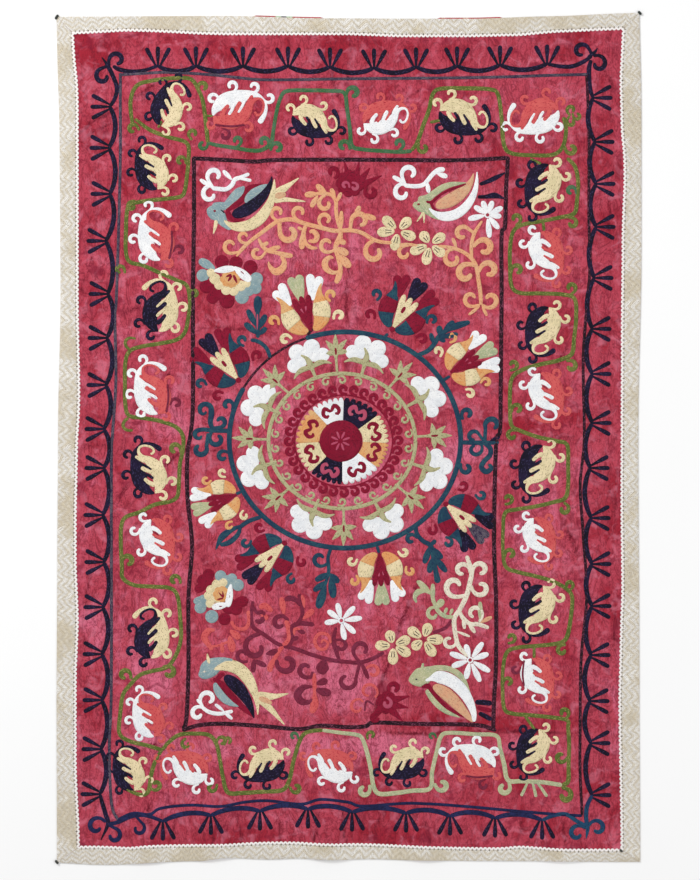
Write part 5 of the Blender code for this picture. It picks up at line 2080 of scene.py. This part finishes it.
def trim_centre(strip, settings):
    """The zigzag's middle line, its corners rounded, with the places of its dots and its length."""
    seam = along_edge(strip.seam, np.linspace(0.0, 1.0, SEAM_POINTS))
    run = distances(seam)
    teeth = round(run[-1] / settings.tooth)
    at = np.linspace(0.0, 1.0, teeth * TOOTH_STEPS + 1)
    base = np.column_stack([np.interp(at * run[-1], run, seam[:, axis]) for axis in (0, 1)])
    swing = (settings.trim_width - 5.0 * MM) / 2 * np.sin(2 * math.pi * teeth * at)
    swing = swing * (1.0 + 0.22 * np.cos(4 * math.pi * teeth * at))
    across = 1 if strip.runs_along_x else 0
    centre = base.copy()
    centre[:, across] += strip.outward * (swing - 1.0 * MM)
    dots = base[TOOTH_STEPS * 3 // 4 :: TOOTH_STEPS].copy()
    dots[:, across] += strip.outward * 3.4 * MM
    return centre, dots, run[-1]


def build_trim(context, strip, braid, dark):
    """A length of zigzag braid with a flat rounded section, and a small dark dome in each gap on its
    binding side.
    """
    settings = context.scene.cloth_settings
    centre, dots, length = trim_centre(strip, settings)
    heading = np.gradient(centre, axis=0)
    heading /= np.hypot(*heading.T)[:, None]
    normal = np.column_stack((-heading[:, 1], heading[:, 0]))
    across = np.array((-1.0, -1.0, -0.7, 0.0, 0.7, 1.0, 1.0)) * 2.3 * MM
    rises = np.array((0.3, 1.0, 1.4, 1.6, 1.4, 1.0, 0.3)) * MM
    places = centre[None] + normal[None] * across[:, None, None]
    x, y = places[..., 0], places[..., 1]
    run = distances(centre)
    height = CLOTH_TOP + lift(x, y) + rises[:, None]
    points = np.column_stack((x.ravel(), y.ravel(), height.ravel()))
    uvs = np.column_stack((np.tile(run, len(across)), np.repeat(across, len(run))))
    faces = grid_faces(len(across), len(run))[:, ::-1]
    piece = mesh_object(f"zigzag_{strip.name}", points, faces, uvs)
    dress(piece, braid, f"trim_{strip.name}")
    dotted = build_dots(f"dots_{strip.name}", dots, dark)


def build_dots(name, dots, material):
    """A small dark dome in each gap of the zigzag."""
    deselect_all()
    bpy.ops.mesh.primitive_uv_sphere_add(segments=8, ring_count=5, radius=1.0)
    model = bpy.context.active_object
    shape = np.array([vertex.co for vertex in model.data.vertices])
    faces = [list(face.vertices) for face in model.data.polygons]
    bpy.data.objects.remove(model, do_unlink=True)
    points, all_faces = [], []
    for number, (x, y) in enumerate(dots):
        size = (1.25 + 0.3 * math.sin(number * 2.7)) * MM
        z = CLOTH_TOP + float(lift(np.array([x]), np.array([y]))[0]) + 1.0 * MM
        points.append(shape * size * np.array((1.0, 1.0, 0.6)) + np.array((x, y, z)))
        all_faces += [[corner + number * len(shape) for corner in face] for face in faces]
    mesh = bpy.data.meshes.new(name)
    mesh.from_pydata(np.vstack(points).tolist(), [], all_faces)
    mesh.polygons.foreach_set("use_smooth", np.ones(len(mesh.polygons), dtype=bool))
    piece = bpy.data.objects.new(name, mesh)
    bpy.context.scene.collection.objects.link(piece)
    mesh.materials.append(material)
    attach(piece, "root")
    return piece


# Stage


# The picture's size in squares, and the brightness of the white world around the cloth.
PICTURE_WIDE = 700
PICTURE_TALL = 880
WORLD_LIGHT = 0.62


def build_stage(context):
    """A pale floor, a white world, two lamps, and a camera straight above the cloth."""
    deselect_all()
    bpy.ops.mesh.primitive_plane_add(size=9.0, location=(0.0, 0.0, 0.0))
    floor = bpy.context.active_object
    floor.name = "floor"
    corners = np.array([vertex.co for vertex in floor.data.vertices])
    move_points(floor, corners[:, 0], corners[:, 1], np.full(4, -0.5 * MM))
    floor.data.materials.append(floor_material())
    world = bpy.data.worlds.new("studio")
    world.use_nodes = True
    world.node_tree.nodes["Background"].inputs[0].default_value = (1.0, 1.0, 1.0, 1.0)
    world.node_tree.nodes["Background"].inputs[1].default_value = WORLD_LIGHT
    context.scene.world = world
    for name, place, size, power in (
        ("key_light", (-3.2, 3.0, 3.6), 1.6, 150.0),
        ("fill_light", (3.6, -1.0, 4.4), 3.0, 60.0),
    ):
        lamp = bpy.data.lights.new(name, "AREA")
        lamp.size = size
        lamp.energy = power
        thing = bpy.data.objects.new(name, lamp)
        thing.location = place
        thing.rotation_euler = (-Vector(place)).to_track_quat("-Z", "Y").to_euler()
        context.scene.collection.objects.link(thing)
    lens = bpy.data.cameras.new("camera")
    lens.sensor_fit = "VERTICAL"
    lens.sensor_height = 36.0
    lens.lens = 100.0
    camera = bpy.data.objects.new("camera", lens)
    x, y = to_metres(PICTURE_WIDE / 2, PICTURE_TALL / 2)
    camera.location = (x, y, PICTURE_TALL * SQUARE * lens.lens / lens.sensor_height)
    context.scene.collection.objects.link(camera)
    context.scene.camera = camera
    context.scene.view_settings.view_transform = "Standard"
    return {"FINISHED"}


# Operators


class EMBROIDERY_OT_stage(bpy.types.Operator):
    """Add the floor, the lights and the camera"""

    bl_idname = "embroidery.stage"
    bl_label = "Stage"

    def execute(self, context):
        return build_stage(context)


class EMBROIDERY_OT_border(bpy.types.Operator):
    """Stitch the border vine with its sprays, and both frame lines"""

    bl_idname = "embroidery.border"
    bl_label = "Border vine and frame lines"

    def execute(self, context):
        work = Needlework("border")
        draw_border(work)
        work.make(context)
        lines = Needlework("frame_line")
        draw_lines(lines, FRAME_LINES)
        return lines.make(context)


class EMBROIDERY_OT_paisleys(bpy.types.Operator):
    """Stitch the paisleys between the frame lines"""

    bl_idname = "embroidery.paisleys"
    bl_label = "Paisleys"

    def execute(self, context):
        work = Needlework("paisley")
        for figure in PAISLEYS:
            draw_paisley(work, figure)
        return work.make(context)


class EMBROIDERY_OT_meander(bpy.types.Operator):
    """Stitch the green meander that winds between the paisleys"""

    bl_idname = "embroidery.meander"
    bl_label = "Meander"

    def execute(self, context):
        work = Needlework("meander")
        draw_lines(work, MEANDER)
        draw_free_curls(work, MEANDER_CURLS)
        return work.make(context)


class EMBROIDERY_OT_ring(bpy.types.Operator):
    """Stitch the blue green ring with its leaves, and the eight tulips around it"""

    bl_idname = "embroidery.ring"
    bl_label = "Ring and tulips"

    def execute(self, context):
        work = Needlework("ring")
        draw_ring(work)
        for tulip in TULIPS:
            draw_tulip(work, tulip)
        return work.make(context)


class EMBROIDERY_OT_medallion(bpy.types.Operator):
    """Stitch the medallion and the garland around it"""

    bl_idname = "embroidery.medallion"
    bl_label = "Medallion and garland"

    def execute(self, context):
        work = Needlework("medallion")
        draw_garland(work)
        draw_medallion(work)
        return work.make(context)


class EMBROIDERY_OT_figures(bpy.types.Operator):
    """Stitch the birds, rosettes, flowers and scrolls at both ends of the field"""

    bl_idname = "embroidery.figures"
    bl_label = "Birds, flowers and scrolls"

    def execute(self, context):
        work = Needlework("figure")
        draw_discs(work, ROSETTE_DISCS + STAR_DISCS)
        draw_leaves(work, ROSETTE_LEAVES + SPRIG_LEAVES + ORANGE_LEAVES + SCROLL_LEAVES)
        draw_lines(work, BIRDS + SPRIGS + STARS + SCROLLS)
        draw_coils(work, FIELD_COILS)
        for rows in ORANGE_VINE:
            work.line("apricot", [(x, y, 0.92 * width) for x, y, width in rows])
        for daisy in DAISIES:
            draw_daisy(work, daisy)
        draw_free_curls(work, STAR_CURLS, 2)
        return work.make(context)


class EMBROIDERY_OT_knots(bpy.types.Operator):
    """Tie the dark threads at the corners"""

    bl_idname = "embroidery.knots"
    bl_label = "Corner knots"

    def execute(self, context):
        work = Needlework("corner_knots")
        draw_lines(work, KNOTS)
        return work.make(context)


class EMBROIDERY_OT_lining(bpy.types.Operator):
    """Lay the printed lining"""

    bl_idname = "embroidery.lining"
    bl_label = "Lining"

    def execute(self, context):
        return build_lining(context)


class EMBROIDERY_OT_ground(bpy.types.Operator):
    """Lay the crimson ground cloth under its stitching"""

    bl_idname = "embroidery.ground"
    bl_label = "Ground cloth"

    def execute(self, context):
        return build_ground(context)


class EMBROIDERY_OT_binding(bpy.types.Operator):
    """Sew the four strips of brocade binding"""

    bl_idname = "embroidery.binding"
    bl_label = "Binding"

    def execute(self, context):
        material = brocade_material()
        for strip in STRIPS:
            build_binding(context, strip, material)
        return {"FINISHED"}


class EMBROIDERY_OT_trim(bpy.types.Operator):
    """Sew the zigzag braid over the joins, with a dark dot in each of its gaps"""

    bl_idname = "embroidery.trim"
    bl_label = "Zigzag trim"

    def execute(self, context):
        braid, dark = braid_material(), dot_material()
        for strip in STRIPS:
            build_trim(context, strip, braid, dark)
        return {"FINISHED"}


STEPS = (
    EMBROIDERY_OT_stage,
    EMBROIDERY_OT_lining,
    EMBROIDERY_OT_border,
    EMBROIDERY_OT_meander,
    EMBROIDERY_OT_paisleys,
    EMBROIDERY_OT_ring,
    EMBROIDERY_OT_medallion,
    EMBROIDERY_OT_figures,
    EMBROIDERY_OT_knots,
    EMBROIDERY_OT_ground,
    EMBROIDERY_OT_binding,
    EMBROIDERY_OT_trim,
)


class EMBROIDERY_PT_panel(bpy.types.Panel):
    """The cloth's settings and the steps that build it"""

    bl_idname = "EMBROIDERY_PT_panel"
    bl_label = "Silk embroidery"
    bl_space_type = "VIEW_3D"
    bl_region_type = "UI"
    bl_category = "Embroidery"

    def draw(self, context):
        column = self.layout.column(align=True)
        for name in ClothSettings.__annotations__:
            column.prop(context.scene.cloth_settings, name)
        column = self.layout.column(align=True)
        for name in ClothThreads.__annotations__:
            column.prop(context.scene.cloth_threads, name)
        column = self.layout.column(align=True)
        for step in STEPS:
            column.operator(step.bl_idname)


CLASSES = (ClothThreads, ClothSettings, *STEPS, EMBROIDERY_PT_panel)


def register():
    for each in CLASSES:
        bpy.utils.register_class(each)
    bpy.types.Scene.cloth_threads = bpy.props.PointerProperty(type=ClothThreads)
    bpy.types.Scene.cloth_settings = bpy.props.PointerProperty(type=ClothSettings)


def unregister():
    del bpy.types.Scene.cloth_settings
    del bpy.types.Scene.cloth_threads
    for each in reversed(CLASSES):
        bpy.utils.unregister_class(each)


def main():
    register()
    for step in STEPS:
        group, name = step.bl_idname.split(".")
        getattr(getattr(bpy.ops, group), name)()


if __name__ == "__main__":
    main()
